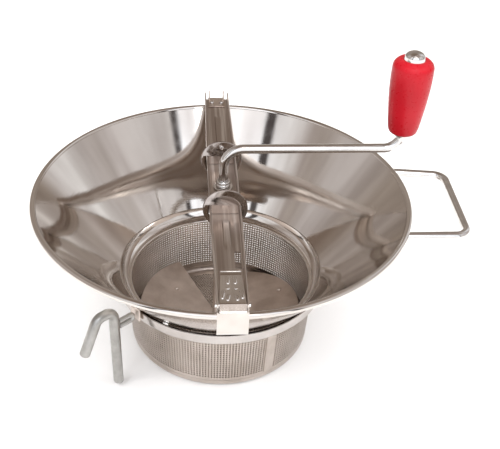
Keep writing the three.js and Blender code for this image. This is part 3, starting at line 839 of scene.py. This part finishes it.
def hole_centres(radius, clear):
    """Staggered rows of hole centres inside a radius, leaving the middle clear."""
    centres = []
    pitch_y = HOLE_PITCH * math.sqrt(3) / 2
    rows = int(radius / pitch_y) + 1
    columns = int(radius / HOLE_PITCH) + 2
    for row in range(-rows, rows + 1):
        for column in range(-columns, columns + 1):
            x = (column + 0.5 * (row % 2)) * HOLE_PITCH
            y = row * pitch_y
            if clear < math.hypot(x, y) < radius:
                centres.append((x, y))
    return centres


def make_sieve_floor():
    """A pan: a perforated disc whose edge turns up into the wall."""
    flat = BASKET_RADIUS - FLOOR_EDGE
    centres = hole_centres(flat - 4, 12)
    rim_angles = [2 * math.pi * i / ROUND for i in range(ROUND)]
    points = [Vector((flat * math.cos(angle), flat * math.sin(angle))) for angle in rim_angles]
    edges = [(i, (i + 1) % ROUND) for i in range(ROUND)]
    sides = 6
    for x, y in centres:
        start = len(points)
        for k in range(sides):
            angle = 2 * math.pi * (k + 0.5) / sides
            points.append(Vector((x, y)) + Vector((math.cos(angle), math.sin(angle))) * HOLE_RADIUS)
        edges.extend((start + k, start + (k + 1) % sides) for k in range(sides))
    found, _, triangles, _, _, _ = geometry.delaunay_2d_cdt(points, edges, [], 1, 1e-6)
    holes = np.array(centres)
    kept = []
    for triangle in triangles:
        middle = sum((found[i] for i in triangle), Vector((0, 0))) / 3
        gaps = np.hypot(holes[:, 0] - middle.x, holes[:, 1] - middle.y)
        if gaps.min() > HOLE_RADIUS * 0.87:
            kept.append(list(triangle))
    count = len(found)
    vertices = [(p.x, p.y, 0) for p in found] + [(p.x, p.y, FLOOR_SHEET) for p in found]
    faces = [t[::-1] for t in kept] + [[i + count for i in t] for t in kept]
    sides_of = [(triangle[k], triangle[(k + 1) % 3]) for triangle in kept for k in range(3)]
    known = set(sides_of)
    for a, b in sides_of:
        on_rim = min(found[a].length, found[b].length) > flat - 0.01
        if (b, a) not in known and not on_rim:
            faces.append([a, b, b + count, a + count])
    disc = mesh_object("sieve_disc", vertices, faces, 40)
    centre = (flat, FLOOR_EDGE)
    top = wall_low.z - GAP
    profile = [
        *arc(centre, FLOOR_EDGE, -90, 0, 10), (BASKET_RADIUS, top),
        (BASKET_RADIUS - FLOOR_SHEET, top), *arc(centre, FLOOR_EDGE - FLOOR_SHEET, 0, -90, 10),
    ]
    rim = revolved("sieve_pan_edge", profile, crease=40)
    work = bmesh.new()
    work.from_mesh(disc.data)
    work.from_mesh(rim.data)
    bmesh.ops.remove_doubles(work, verts=work.verts, dist=0.004 * MM)
    inner = [
        face for face in work.faces
        if abs(face.normal.z) < 0.1
        and all(abs(vert.co.xy.length / MM - flat) < 0.01 for vert in face.verts)
    ]
    bmesh.ops.delete(work, geom=inner, context="FACES_ONLY")
    work.to_mesh(disc.data)
    work.free()
    bpy.data.objects.remove(rim)
    return finished(smooth(disc, 40), "sieve_floor")


BAND_SHEET = 1.4
LUG_COUNT = 3
LUG_START = math.radians(10)


def make_band():
    """A shallow ring that holds the basket's top, with bayonet lugs inside it."""
    inner = band_high.x - BAND_SHEET
    low, high = band_low.z, band_high.z
    outline = [
        (WALL_TOP_RADIUS + GAP, low), (band_high.x, low), (band_high.x, high), (inner, high),
        (inner, low + BAND_SHEET), (WALL_TOP_RADIUS + GAP, low + BAND_SHEET),
    ]
    band = revolved("band_ring", rounded(outline, [0.3, 2.2, 0.6, 0.6, 0.8, 0.3], 6))
    finished(band, "sieve_band")
    for i in range(LUG_COUNT):
        outline = rounded([(104.5, -7), (109, -7), (109, 7), (104.5, 7)], [1.5, 0, 0, 1.5])
        lug = extruded(f"band_lug_{i + 1}", outline, 75.75, 78.25, edge=0.25)
        turn = LUG_START + 2 * math.pi * i / LUG_COUNT
        lug.data.transform(Matrix.Rotation(turn, 4, "Z"))
        finished(lug, "sieve_band")


def make_seam():
    """The lap of the wall's sheet, spot-welded: a thin strip that leans with the wall."""
    low = wall_low.z + 2
    high = band_low.z - 1.5
    half = SEAM_WIDTH / 2 / BASKET_RADIUS
    across = 10
    up = 24
    vertices = []
    for layer in (GAP * 0.6, 0.9):
        for row in range(up + 1):
            height = low + (high - low) * row / up
            for column in range(across + 1):
                angle = SEAM_ANGLE - half + 2 * half * column / across
                weld = 0
                if layer > 0.5 and column in (4, 5, 6) and row % 4 == 2:
                    weld = -0.35
                radius = wall_outside(height) + layer + weld
                vertices.append((radius * math.cos(angle), radius * math.sin(angle), height))
    wide = across + 1
    layer_size = wide * (up + 1)
    faces = []
    for row in range(up):
        for column in range(across):
            a = row * wide + column
            quad = [a, a + 1, a + 1 + wide, a + wide]
            faces.append([layer_size + i for i in quad])
            faces.append(quad[::-1])
    ring = [
        *range(wide),
        *[row * wide + across for row in range(1, up + 1)],
        *[up * wide + column for column in range(across - 1, -1, -1)],
        *[row * wide for row in range(up - 1, 0, -1)],
    ]
    for a, b in zip(ring, ring[1:] + ring[:1]):
        faces.append([a, b, b + layer_size, a + layer_size])
    return finished(mesh_object("seam_strip", vertices, faces, 40), "sieve_seam")


def make_pivot():
    bore = SHAFT_RADIUS + GAP
    low, high = FLOOR_SHEET + GAP, 10
    outline = [(bore, low), (9, low), (9, high), (bore, high)]
    pivot = revolved("pivot_boss", rounded(outline, [0.2, 0.5, 1.6, 0.4]), 64)
    return finished(pivot, "floor_pivot")


# ---- Crossbar --------------------------------------------------------------------------------

BAR_EDGE = 2.6  # outside radius of the bends along the channel's floor
HOOK_RIVET_Y = 180.0


def bar_half(y):
    """Half the channel's width, which narrows from the cheeks towards both ends."""
    start = CHEEK_Y + 5
    t = min(max((abs(y) - start) / (HOOK_RIVET_Y - start), 0), 1)
    narrowing = t * t * (3 - 2 * t)
    end_width = BAR_NEAR_WIDTH if y < 0 else BAR_FAR_WIDTH
    return (BAR_MIDDLE_WIDTH - (BAR_MIDDLE_WIDTH - end_width) * narrowing) / 2


def bar_section(half):
    """Half-round bends at the floor and rolled top edges, as a closed (x, z) outline."""
    low, high = bar_low.z, bar_high.z
    inner = BAR_EDGE - BAR_SHEET
    floor = low + BAR_SHEET
    edge = BAR_SHEET / 2
    right = [
        *arc((half - BAR_EDGE, low + BAR_EDGE), BAR_EDGE, -90, 0, 6),
        *arc((half - edge, high - edge), edge, 0, 180, 6),
        *arc((half - BAR_EDGE, floor + inner), inner, 0, -90, 5),
    ]
    left = [(-x, z) for x, z in reversed(right)]
    return right + left


def rib_rise(x, y):
    """Height of the long stiffening rib pressed up in the floor."""
    along = 0.0
    for start, end in ((56, 150), (-100, -56)):
        along = max(along, min(1, max(0, min(y - start, end - y) / 6)))
    flank = min(1, max(0, (3.6 - abs(x)) / 0.9))
    return 1.2 * along * flank * flank * (3 - 2 * flank)


def rod_at_latch(name, radius, half, edge):
    """A rod along X on the latch pin's axis."""
    circle = arc((LATCH_PIN_Y, LATCH_PIN_Z), radius, 0, 360, 32)[:-1]
    return extruded(name, circle, -half, half, axis="X", edge=edge)


def pin_cutter():
    return rod_at_latch("pin_hole", LATCH_PIN_RADIUS + GAP, 30, 0)


def make_channel():
    """The channel, swept along Y as rings of points, then cut for the bush, slot and pin."""
    start, end = bar_low.y, bar_high.y
    steps = 124
    floor_points = 47
    vertices = []
    rings = []
    for i in range(steps + 1):
        y = start + (end - start) * i / steps
        half = bar_half(y)
        section = bar_section(half)
        bend = half - BAR_EDGE
        gap = 2 * bend / (floor_points + 1)
        top = [(bend - gap * k, BAR_FLOOR_TOP) for k in range(1, floor_points + 1)]
        under = [(-x, bar_low.z) for x, _ in top]
        count = len(section) // 2
        outline = section[:count] + top + section[count:] + under
        ring = []
        for x, z in outline:
            ring.append(len(vertices))
            rise = rib_rise(x, y) if abs(x) < bend - 1 else 0
            vertices.append((x, y, z + rise))
        rings.append(ring)
    size = len(rings[0])
    faces = []
    for before, after in zip(rings, rings[1:]):
        for k in range(size):
            j = (k + 1) % size
            faces.append([before[k], after[k], after[j], before[j]])
    faces.append(rings[0])
    faces.append(rings[-1][::-1])
    channel = mesh_object("bar_channel", vertices, faces, 35)
    low, high = bar_low.z - 2, bar_high.z
    bush = revolved("bush_hole", [(0, low), (7.2, low), (7.2, high), (0, high)], 64)
    slot_outline = rounded([(5.25, -128), (10.75, -128), (10.75, -104), (5.25, -104)], 0.8)
    slot = extruded("floor_slot", slot_outline, low, bar_low.z + 5, edge=0)
    carve(channel, bush, slot, pin_cutter())
    return finished(smooth(channel, 35), "crossbar_channel")


CHEEK_RADIUS = 21.0
CHEEK_SHEET = 2.0
CHEEK_Z = RIM_Z + 9
HOOK_SHEET = 1.5


def make_cheek(node, y):
    """A round plate standing across the bar, cut to slide over its section."""
    outline = arc((0, CHEEK_Z), CHEEK_RADIUS, 0, 360, 128)[:-1]
    front, back = y - CHEEK_SHEET / 2, y + CHEEK_SHEET / 2
    plate = extruded(f"{node}_plate", outline, front, back, axis="Y", edge=0.8)
    half = BAR_MIDDLE_WIDTH / 2
    side = BAR_SHEET + 2 * GAP
    cutters = []
    for sign in (-1, 1):
        middle = sign * (half - BAR_SHEET / 2)
        low = (middle - side / 2, y - 5, bar_low.z - GAP)
        high = (middle + side / 2, y + 5, bar_high.z + GAP)
        cutters.append(block(f"cheek_cut_{sign}", low, high))
    low = (-half, y - 5, bar_low.z - GAP)
    high = (half, y + 5, BAR_FLOOR_TOP + GAP)
    cutters.append(block("cheek_cut_floor", low, high))
    carve(plate, *cutters)
    return finished(smooth(plate), node)


def make_stud():
    profile = [(0, 0), (2.2, 0), *arc((1.2, 1.4), 1.0, 0, 80, 5), (0, 2.4)]
    stud = revolved("cheek_eyelet", profile, 32)
    place = Vector((0, CHEEK_Y - CHEEK_SHEET / 2 - GAP, CHEEK_Z + CHEEK_RADIUS - 6)) * MM
    stud.data.transform(Matrix.Translation(place) @ Matrix.Rotation(math.pi / 2, 4, "X"))
    return finished(stud, "rear_cheek_stud")


def make_far_hook():
    """A riveted strap that turns down over the bead, with a lip under it and two ears."""
    low = BAR_FLOOR_TOP + GAP
    high = low + HOOK_SHEET
    inside = bar_high.y + 0.4
    outside = inside + HOOK_SHEET
    foot = RIM_Z - 9
    lip = RIM_RADIUS - 1
    start = HOOK_RIVET_Y - 8
    outline = rounded([
        (start, low), (inside, low), (inside, foot), (lip, foot), (lip, foot - HOOK_SHEET),
        (outside, foot - HOOK_SHEET), (outside, high), (start, high),
    ], [0, 0.6, 0.6, 0.3, 0.3, 2, 2, 0.5], 6)
    strap = extruded("hook_strap", outline, -9.5, 9.5, axis="X", edge=0.25)
    for side in (-1, 1):
        ear_outline = rounded([
            (inside - 4.5, high - 0.3), (inside + 1.5, high - 0.3),
            (inside + 1.3, high + 8.5), (inside - 1.5, high + 8.5),
        ], [0.3, 0.3, 1.2, 1.4])
        near, far = side * 8.2 - 0.75, side * 8.2 + 0.75
        ear = extruded(f"hook_ear_{side}", ear_outline, near, far, axis="X", edge=0.2)
        combined(strap, "UNION", ear)
    finished(smooth(strap, 40), "far_hook")
    for node, x in (("hook_rivet_left", -5.6), ("hook_rivet_right", 5.6)):
        foot = high + GAP
        profile = [
            (0, foot), (2.6, foot), *arc((1.2, foot + 0.4), 1.4, 0, 82, 6), (0, foot + 1.8),
        ]
        finished(revolved(f"{node}_head", profile, 32, centre=(x, HOOK_RIVET_Y)), node)


def make_bush():
    bore = SHAFT_RADIUS + GAP
    seat = BAR_FLOOR_TOP + GAP
    foot = bar_low.z - 6
    outline = rounded([
        (bore, foot), (6.8, foot), (6.8, seat), (9.5, seat), (9.5, seat + 1.6), (bore, seat + 1.6),
    ], [0.3, 0.6, 0, 0.4, 0.5, 0.4])
    return finished(revolved("bush_flange", outline, 64), "shaft_bush")


# ---- Latch -----------------------------------------------------------------------------------

LATCH_SHEET = 1.6
LEVER_END = -144.0
# Raised flutes on the lever: both ends as distances from the lever's own end, the distance off
# the middle there, and how much wider apart they are at the second end.
FLUTES = [
    (-5, -16, 2.6, 0.4), (-20, -22, 3.0, 0.8), (-27, -35, 2.6, 1.6), (-22, -33, 7.0, 1.2),
]


def make_latch():
    """A lever of folded sheet with flutes along it, and an apron that laps over the rim."""
    eye = 2 * LATCH_PIN_RADIUS
    apron_y = -RIM_RADIUS - 1.3
    outer = apron_y - LATCH_SHEET
    front = LATCH_PIN_Z - 1.4
    top = bar_high.z + 1.8
    side_outline = rounded([
        (LEVER_END, top), (LEVER_END, top - 2), (LATCH_PIN_Y + 8, LATCH_PIN_Z - 1.2),
        (LATCH_PIN_Y + 2, LATCH_PIN_Z - eye), (LATCH_PIN_Y - 2, LATCH_PIN_Z - eye),
        (apron_y, BAR_FLOOR_TOP - 0.6), (outer, front), (outer + 0.8, front + 0.8),
        (LATCH_PIN_Y - 2, LATCH_PIN_Z + eye - 0.4), (LATCH_PIN_Y + 2, LATCH_PIN_Z + eye),
        (LEVER_END - 5, top - 0.4), (LEVER_END - 3, top),
    ], [0.4, 0.4, 3, 1.5, 1.5, 0, 0.5, 2, 3, 3, 1, 0.6], 6)
    latch = extruded("latch_lever", side_outline, -14, 14, axis="X", edge=0)
    inside = BAR_NEAR_WIDTH / 2 - BAR_SHEET - 0.5
    plan = extruded("latch_plan", [
        (8.5, LEVER_END + 1), (-8.5, LEVER_END + 1), (-inside, LATCH_PIN_Y), (-inside, outer - 1),
        (inside, outer - 1), (inside, LATCH_PIN_Y),
    ], RIM_Z, RIM_Z + 20, edge=0)
    combined(latch, "INTERSECT", plan)
    tongue = apron_y + 3
    apron_outline = rounded([
        (apron_y, front - 0.2), (apron_y, RIM_Z - 4.6), (tongue, RIM_Z - 4.6),
        (tongue, RIM_Z - 6.1), (apron_y, RIM_Z - 6.1), (apron_y, RIM_Z - 13),
        (apron_y + 1.6, RIM_Z - 16.4), (apron_y + 0.2, RIM_Z - 17.2), (outer, RIM_Z - 13.4),
        (outer, front - 0.2),
    ], [0, 0, 0.2, 0.2, 0, 1.5, 0.3, 0.3, 2, 0], 5)
    half = BAR_NEAR_WIDTH / 2
    apron = extruded("latch_apron", apron_outline, -half, half, axis="X", edge=0)
    combined(latch, "UNION", apron)
    slope = (top - LATCH_PIN_Z - eye) / (LEVER_END - LATCH_PIN_Y)
    for side in (-1, 1):
        for near, far, spread, splay in FLUTES:
            ends = [
                Vector((side * (spread + extra), LEVER_END + y, top - 1 + slope * y))
                for y, extra in ((near, 0), (far, splay))
            ]
            flute = swept(f"latch_flute_{side}_{near}", ends, 1.9, 20, end=1.8)
            finished(flute, "rim_latch")
    carve(latch, pin_cutter())
    smooth(latch, 30)
    soften(latch, 0.5, 40)
    ends = [Vector((x, LEVER_END - 0.2, top - 0.6)) for x in (-9, 9)]
    finished(swept("latch_roll", ends, 1.1, 20, end=0.8), "rim_latch")
    finished(latch, "rim_latch")
    return finished(rod_at_latch("latch_pin_rod", LATCH_PIN_RADIUS, half + 1.6, 0.3), "latch_pin")


# ---- Crank, spring, rotor and grip -----------------------------------------------------------

def make_crank_rod():
    """One rod for the shaft, the arm and the pin in the grip."""
    low, high = node_box("crank_rod")
    corners = [
        Vector((0, 0, low.z)),
        Vector((0, 0, ARM_Z)),
        in_plan(ARM_ANGLE, ARM_REACH, 0, ARM_Z),
        in_plan(ARM_ANGLE, ARM_REACH, 0, high.z),
    ]
    rod = swept("crank_bar", bent_path(corners, [ARM_BEND, PIN_BEND], 20), SHAFT_RADIUS, 32)
    return finished(rod, "crank_rod")


def make_collar():
    low, high = node_box("shaft_collar")
    foot = low.z
    bore = SHAFT_RADIUS + GAP
    profile = [
        (bore, foot), (6.4, foot), *arc((5.4, foot + 1.5), 1.8, -40, 60, 6),
        *arc((5.2, foot + 4.8), 1.8, -60, 50, 6), (bore, high.z),
    ]
    return finished(revolved("collar_rings", profile, 64), "shaft_collar")


SPRING_WIRE = 0.9
SPRING_RADIUS = 7.6
SPRING_TURNS = 6


def make_spring():
    low, high = node_box("pressure_spring")
    steps = SPRING_TURNS * 40
    path = []
    for i in range(steps + 1):
        t = i / steps
        angle = t * SPRING_TURNS * 2 * math.pi
        height = low.z + SPRING_WIRE + (high.z - low.z - 2 * SPRING_WIRE) * t
        path.append(Vector((
            SPRING_RADIUS * math.cos(angle), SPRING_RADIUS * math.sin(angle), height,
        )))
    coil = swept("spring_coil", path, SPRING_WIRE, 12, end=0.3)
    finished(coil, "pressure_spring")
    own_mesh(coil)


def make_washer(name, node, radius, edge, centre):
    low, high = node_box(node)
    bore = SHAFT_RADIUS + GAP
    outline = [(bore, low.z), (radius, low.z), (radius, high.z), (bore, high.z)]
    return finished(revolved(name, rounded(outline, edge), 64, centre=centre), node)


def make_hub():
    bore = SHAFT_RADIUS + GAP
    low, high = hub_low.z, hub_high.z
    outline = [(bore, low), (hub_high.x, low), (hub_high.x, high), (bore, high)]
    hub = revolved("hub_tube", rounded(outline, [0.3, 0.8, 1, 0.4]), 64)
    finished(hub, "rotor_hub")
    pin_low, pin_high = node_box("cotter_pin")
    pin_z = (pin_low.z + pin_high.z) / 2
    ends = [Vector((0, y, pin_z)) for y in (pin_low.y, pin_high.y)]
    return finished(swept("cotter_rod", ends, 1.5, 20, end=0.4), "cotter_pin")


BLADE_RADIUS = 90.0
BLADE_BORE = 11.2
BLADE_SHEET = 2.0
BLADE_TILT = math.radians(18)
BLADE_SWEEP = 125.0
BLADE_FOOT_Z = 3.6
ROTOR_ANGLE = math.radians(67)
BLADE_RIVETS = [(math.radians(-46), 76), (math.radians(-100), 60)]


def make_blade(node, angle):
    """A sector of sheet with two rivets, tilted up from its trailing edge."""
    outline = [
        *arc((0, 0), BLADE_RADIUS, -BLADE_SWEEP, 0, 60),
        *arc((0, 0), BLADE_BORE, 0, -BLADE_SWEEP, 16),
    ]
    blade = extruded(f"{node}_plate", outline, 0, BLADE_SHEET, edge=0.4)
    tilt = (
        Matrix.Rotation(angle, 4, "Z") @ Matrix.Translation(Vector((0, 0, BLADE_FOOT_Z)) * MM)
        @ Matrix.Rotation(-BLADE_TILT, 4, "X")
    )
    blade.data.transform(tilt)
    foot = BLADE_SHEET + GAP
    dome = arc((1.0, BLADE_SHEET + 0.6), 1.6, 0, 80, 6)
    profile = [(0, foot), (2.6, foot), *dome, (0, BLADE_SHEET + 2.2)]
    for index, (bearing, distance) in enumerate(BLADE_RIVETS):
        where = in_plan(bearing, distance, 0, 0)
        rivet = revolved(f"{node}_rivet_{index + 1}", profile, 32)
        rivet.data.transform(tilt @ Matrix.Translation(where * MM))
        finished(rivet, node)
    return finished(blade, node)


def make_grip():
    """A pear-shaped grip with a recess in its crown, and the domed cap that sits in it."""
    bore = SHAFT_RADIUS + GAP
    foot, crown = grip_low.z, grip_high.z
    widest = (grip_high.x - grip_low.x) / 2
    narrow = 14
    recess = 9.6
    side = []
    for t in (0.10, 0.2, 0.32, 0.44, 0.56, 0.66, 0.74, 0.80):
        swell = math.sin(t / 0.8 * math.pi / 2) ** 1.15
        side.append((narrow + (widest - narrow) * swell, foot + (crown - foot) * t))
    profile = [
        (bore, foot), *arc((9, foot + 5), 5, -90, -20, 8), *side,
        *arc((widest - 9, crown - 9), 9, 12, 78, 14),
        (recess, crown - 0.6), (recess, crown - 3.4), (bore, crown - 3.4),
    ]
    grip = revolved("grip_body", profile, 96, centre=(PIN_X, PIN_Y), crease=40)
    finished(grip, "grip")
    grip.visible_glossy = False
    cap_low, cap_high = node_box("grip_cap")
    dome_foot = crown + 1.6
    rise = cap_high.z - dome_foot
    dome = [
        (9.2 * math.cos(a), dome_foot + rise * math.sin(a))
        for a in np.linspace(0, math.pi / 2, 14)[:-1]
    ]
    profile = [
        (0, crown + 2 + GAP), (bore, crown + 2 + GAP), (bore, cap_low.z), (8.9, cap_low.z),
        *dome, (0, cap_high.z),
    ]
    return finished(revolved("cap_dome", profile, 64, centre=(PIN_X, PIN_Y)), "grip_cap")


# ---- Stage -----------------------------------------------------------------------------------

def make_floor():
    half = 6000
    corners = [(-half, -half, 0), (half, -half, 0), (half, half, 0), (-half, half, 0)]
    floor = mesh_object("floor", corners, [[0, 1, 2, 3]])
    floor.location.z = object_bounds()[0][2] - 0.0005
    floor.data.materials.append(floor_paper())


def area_light(name, place, target, size, power, colour=(1, 1, 1)):
    data = bpy.data.lights.new(name, "AREA")
    data.shape = "RECTANGLE"
    data.size, data.size_y = size
    data.energy = power
    data.color = colour
    light = bpy.data.objects.new(name, data)
    bpy.context.scene.collection.objects.link(light)
    light.location = place
    light.rotation_euler = (Vector(target) - Vector(place)).to_track_quat("-Z", "Y").to_euler()
    return light


BROWN = (0.33, 0.28, 0.24)
WHITE = (1.42, 1.47, 1.54)
DARK = (0.10, 0.09, 0.09)
# The room's walls by bearing, in degrees from the camera's side of the mill.
WALLS = [
    (-180, BROWN), (-135, BROWN), (-110, (0.50, 0.46, 0.44)), (-98, (0.48, 0.44, 0.42)),
    (-82, (0.47, 0.42, 0.38)), (-74, (0.46, 0.41, 0.38)), (-66, (0.80, 0.78, 0.77)),
    (-46, (0.95, 0.96, 0.98)), (-44, DARK), (-38, DARK), (-36, WHITE), (34, WHITE), (36, DARK),
    (40, DARK), (42, (0.72, 0.70, 0.69)), (86, (0.63, 0.59, 0.575)), (95, (0.46, 0.42, 0.395)),
    (104, (0.50, 0.46, 0.44)), (118, (0.85, 0.84, 0.83)), (131, (0.62, 0.59, 0.58)),
    (141, BROWN), (180, BROWN),
]
# How the walls darken towards the floor and the ceiling.
HEIGHTS = [
    (0.0, (0.9, 0.88, 0.86)), (0.35, (1, 1, 1)), (0.74, (1, 1, 1)), (0.88, (0.64, 0.56, 0.50)),
    (1.0, (0.58, 0.51, 0.46)),
]
PATCHES = [(0.38, (0.80, 0.79, 0.80)), (0.62, (1.10, 1.12, 1.15))]


def colour_ramp(tree, value, stops):
    """A colour ramp with (position, colour) stops."""
    ramp = tree.nodes.new("ShaderNodeValToRGB")
    elements = ramp.color_ramp.elements
    while len(elements) < len(stops):
        elements.new(0.5)
    for element, (position, colour) in zip(elements, stops):
        element.position = position
        element.color = (*colour, 1)
    tree.links.new(value, ramp.inputs["Fac"])
    return ramp.outputs["Color"]


def multiplied(tree, first, second):
    mix = tree.nodes.new("ShaderNodeMix")
    mix.data_type = "RGBA"
    mix.blend_type = "MULTIPLY"
    mix.inputs["Factor"].default_value = 1
    tree.links.new(first, mix.inputs["A"])
    tree.links.new(second, mix.inputs["B"])
    return mix.outputs["Result"]


def make_room():
    """A brownish room whose walls differ by bearing and are a little uneven. It lights the scene,
    shows in the steel and can be seen behind the floor from a low camera."""
    world = bpy.data.worlds.new("studio")
    bpy.context.scene.world = world
    world.use_nodes = True
    tree = world.node_tree
    background = tree.nodes["Background"]
    coords = tree.nodes.new("ShaderNodeTexCoord")
    split = tree.nodes.new("ShaderNodeSeparateXYZ")
    tree.links.new(coords.outputs["Generated"], split.inputs["Vector"])
    toward = tree.nodes.new("ShaderNodeMath")
    toward.operation = "MULTIPLY"
    toward.inputs[1].default_value = -1
    tree.links.new(split.outputs["Y"], toward.inputs[0])
    bearing = tree.nodes.new("ShaderNodeMath")
    bearing.operation = "ARCTAN2"
    tree.links.new(split.outputs["X"], bearing.inputs[0])
    tree.links.new(toward.outputs["Value"], bearing.inputs[1])
    turn = tree.nodes.new("ShaderNodeMapRange")
    turn.inputs["From Min"].default_value = -math.pi
    turn.inputs["From Max"].default_value = math.pi
    tree.links.new(bearing.outputs["Value"], turn.inputs["Value"])
    walls = colour_ramp(tree, turn.outputs["Result"], [
        (degrees / 360 + 0.5, colour) for degrees, colour in WALLS
    ])
    height = colour_ramp(tree, split.outputs["Z"], HEIGHTS)
    patches = tree.nodes.new("ShaderNodeTexNoise")
    patches.inputs["Scale"].default_value = 5
    patches.inputs["Detail"].default_value = 6
    tree.links.new(coords.outputs["Generated"], patches.inputs["Vector"])
    uneven = colour_ramp(tree, patches.outputs["Fac"], PATCHES)
    room = multiplied(tree, multiplied(tree, walls, height), uneven)
    tree.links.new(room, background.inputs["Color"])
    background.inputs["Strength"].default_value = 1.12


def make_lights():
    """Four soft boxes that are hidden from reflections, and a small one that shows in them."""
    target = (0, 0, 0.1)
    lights = [
        area_light("key", (-0.9, -0.8, 1.5), target, (1.0, 1.0), 19),
        area_light("fill", (1.3, -0.5, 1.3), target, (1.0, 1.2), 14.5),
        area_light("back", (0.2, 1.5, 1.3), target, (1.6, 0.9), 14.5),
        area_light("overhead", (0.1, 0, 1.9), target, (1.2, 1.2), 9),
    ]
    for light in lights:
        light.visible_glossy = False
    area_light("small_highlight", (0.35, -1.9, 2.4), target, (0.7, 0.9), 6)


def set_colours():
    scene = bpy.context.scene
    scene.view_settings.view_transform = "Standard"
    scene.view_settings.look = "None"
    scene.view_settings.exposure = 0
    scene.cycles.glossy_bounces = 8


make_camera()
make_bowl()
make_throat()
make_throat_rivets()
make_loop_handle()
make_pot_hook()
make_sieve_wall()
make_sieve_floor()
make_band()
make_seam()
make_pivot()
make_channel()
make_cheek("front_cheek", -CHEEK_Y)
make_cheek("rear_cheek", CHEEK_Y)
make_stud()
make_far_hook()
make_bush()
make_latch()
make_crank_rod()
make_collar()
make_spring()
make_washer("seat_washer", "spring_seat", 10, 0.35, (0, 0))
make_washer("grip_collar", "grip_washer", 8, 0.5, (PIN_X, PIN_Y))
make_hub()
make_blade("rotor_blade_1", ROTOR_ANGLE)
make_blade("rotor_blade_2", ROTOR_ANGLE + math.pi)
make_grip()
make_floor()
make_room()
make_lights()
set_colours()
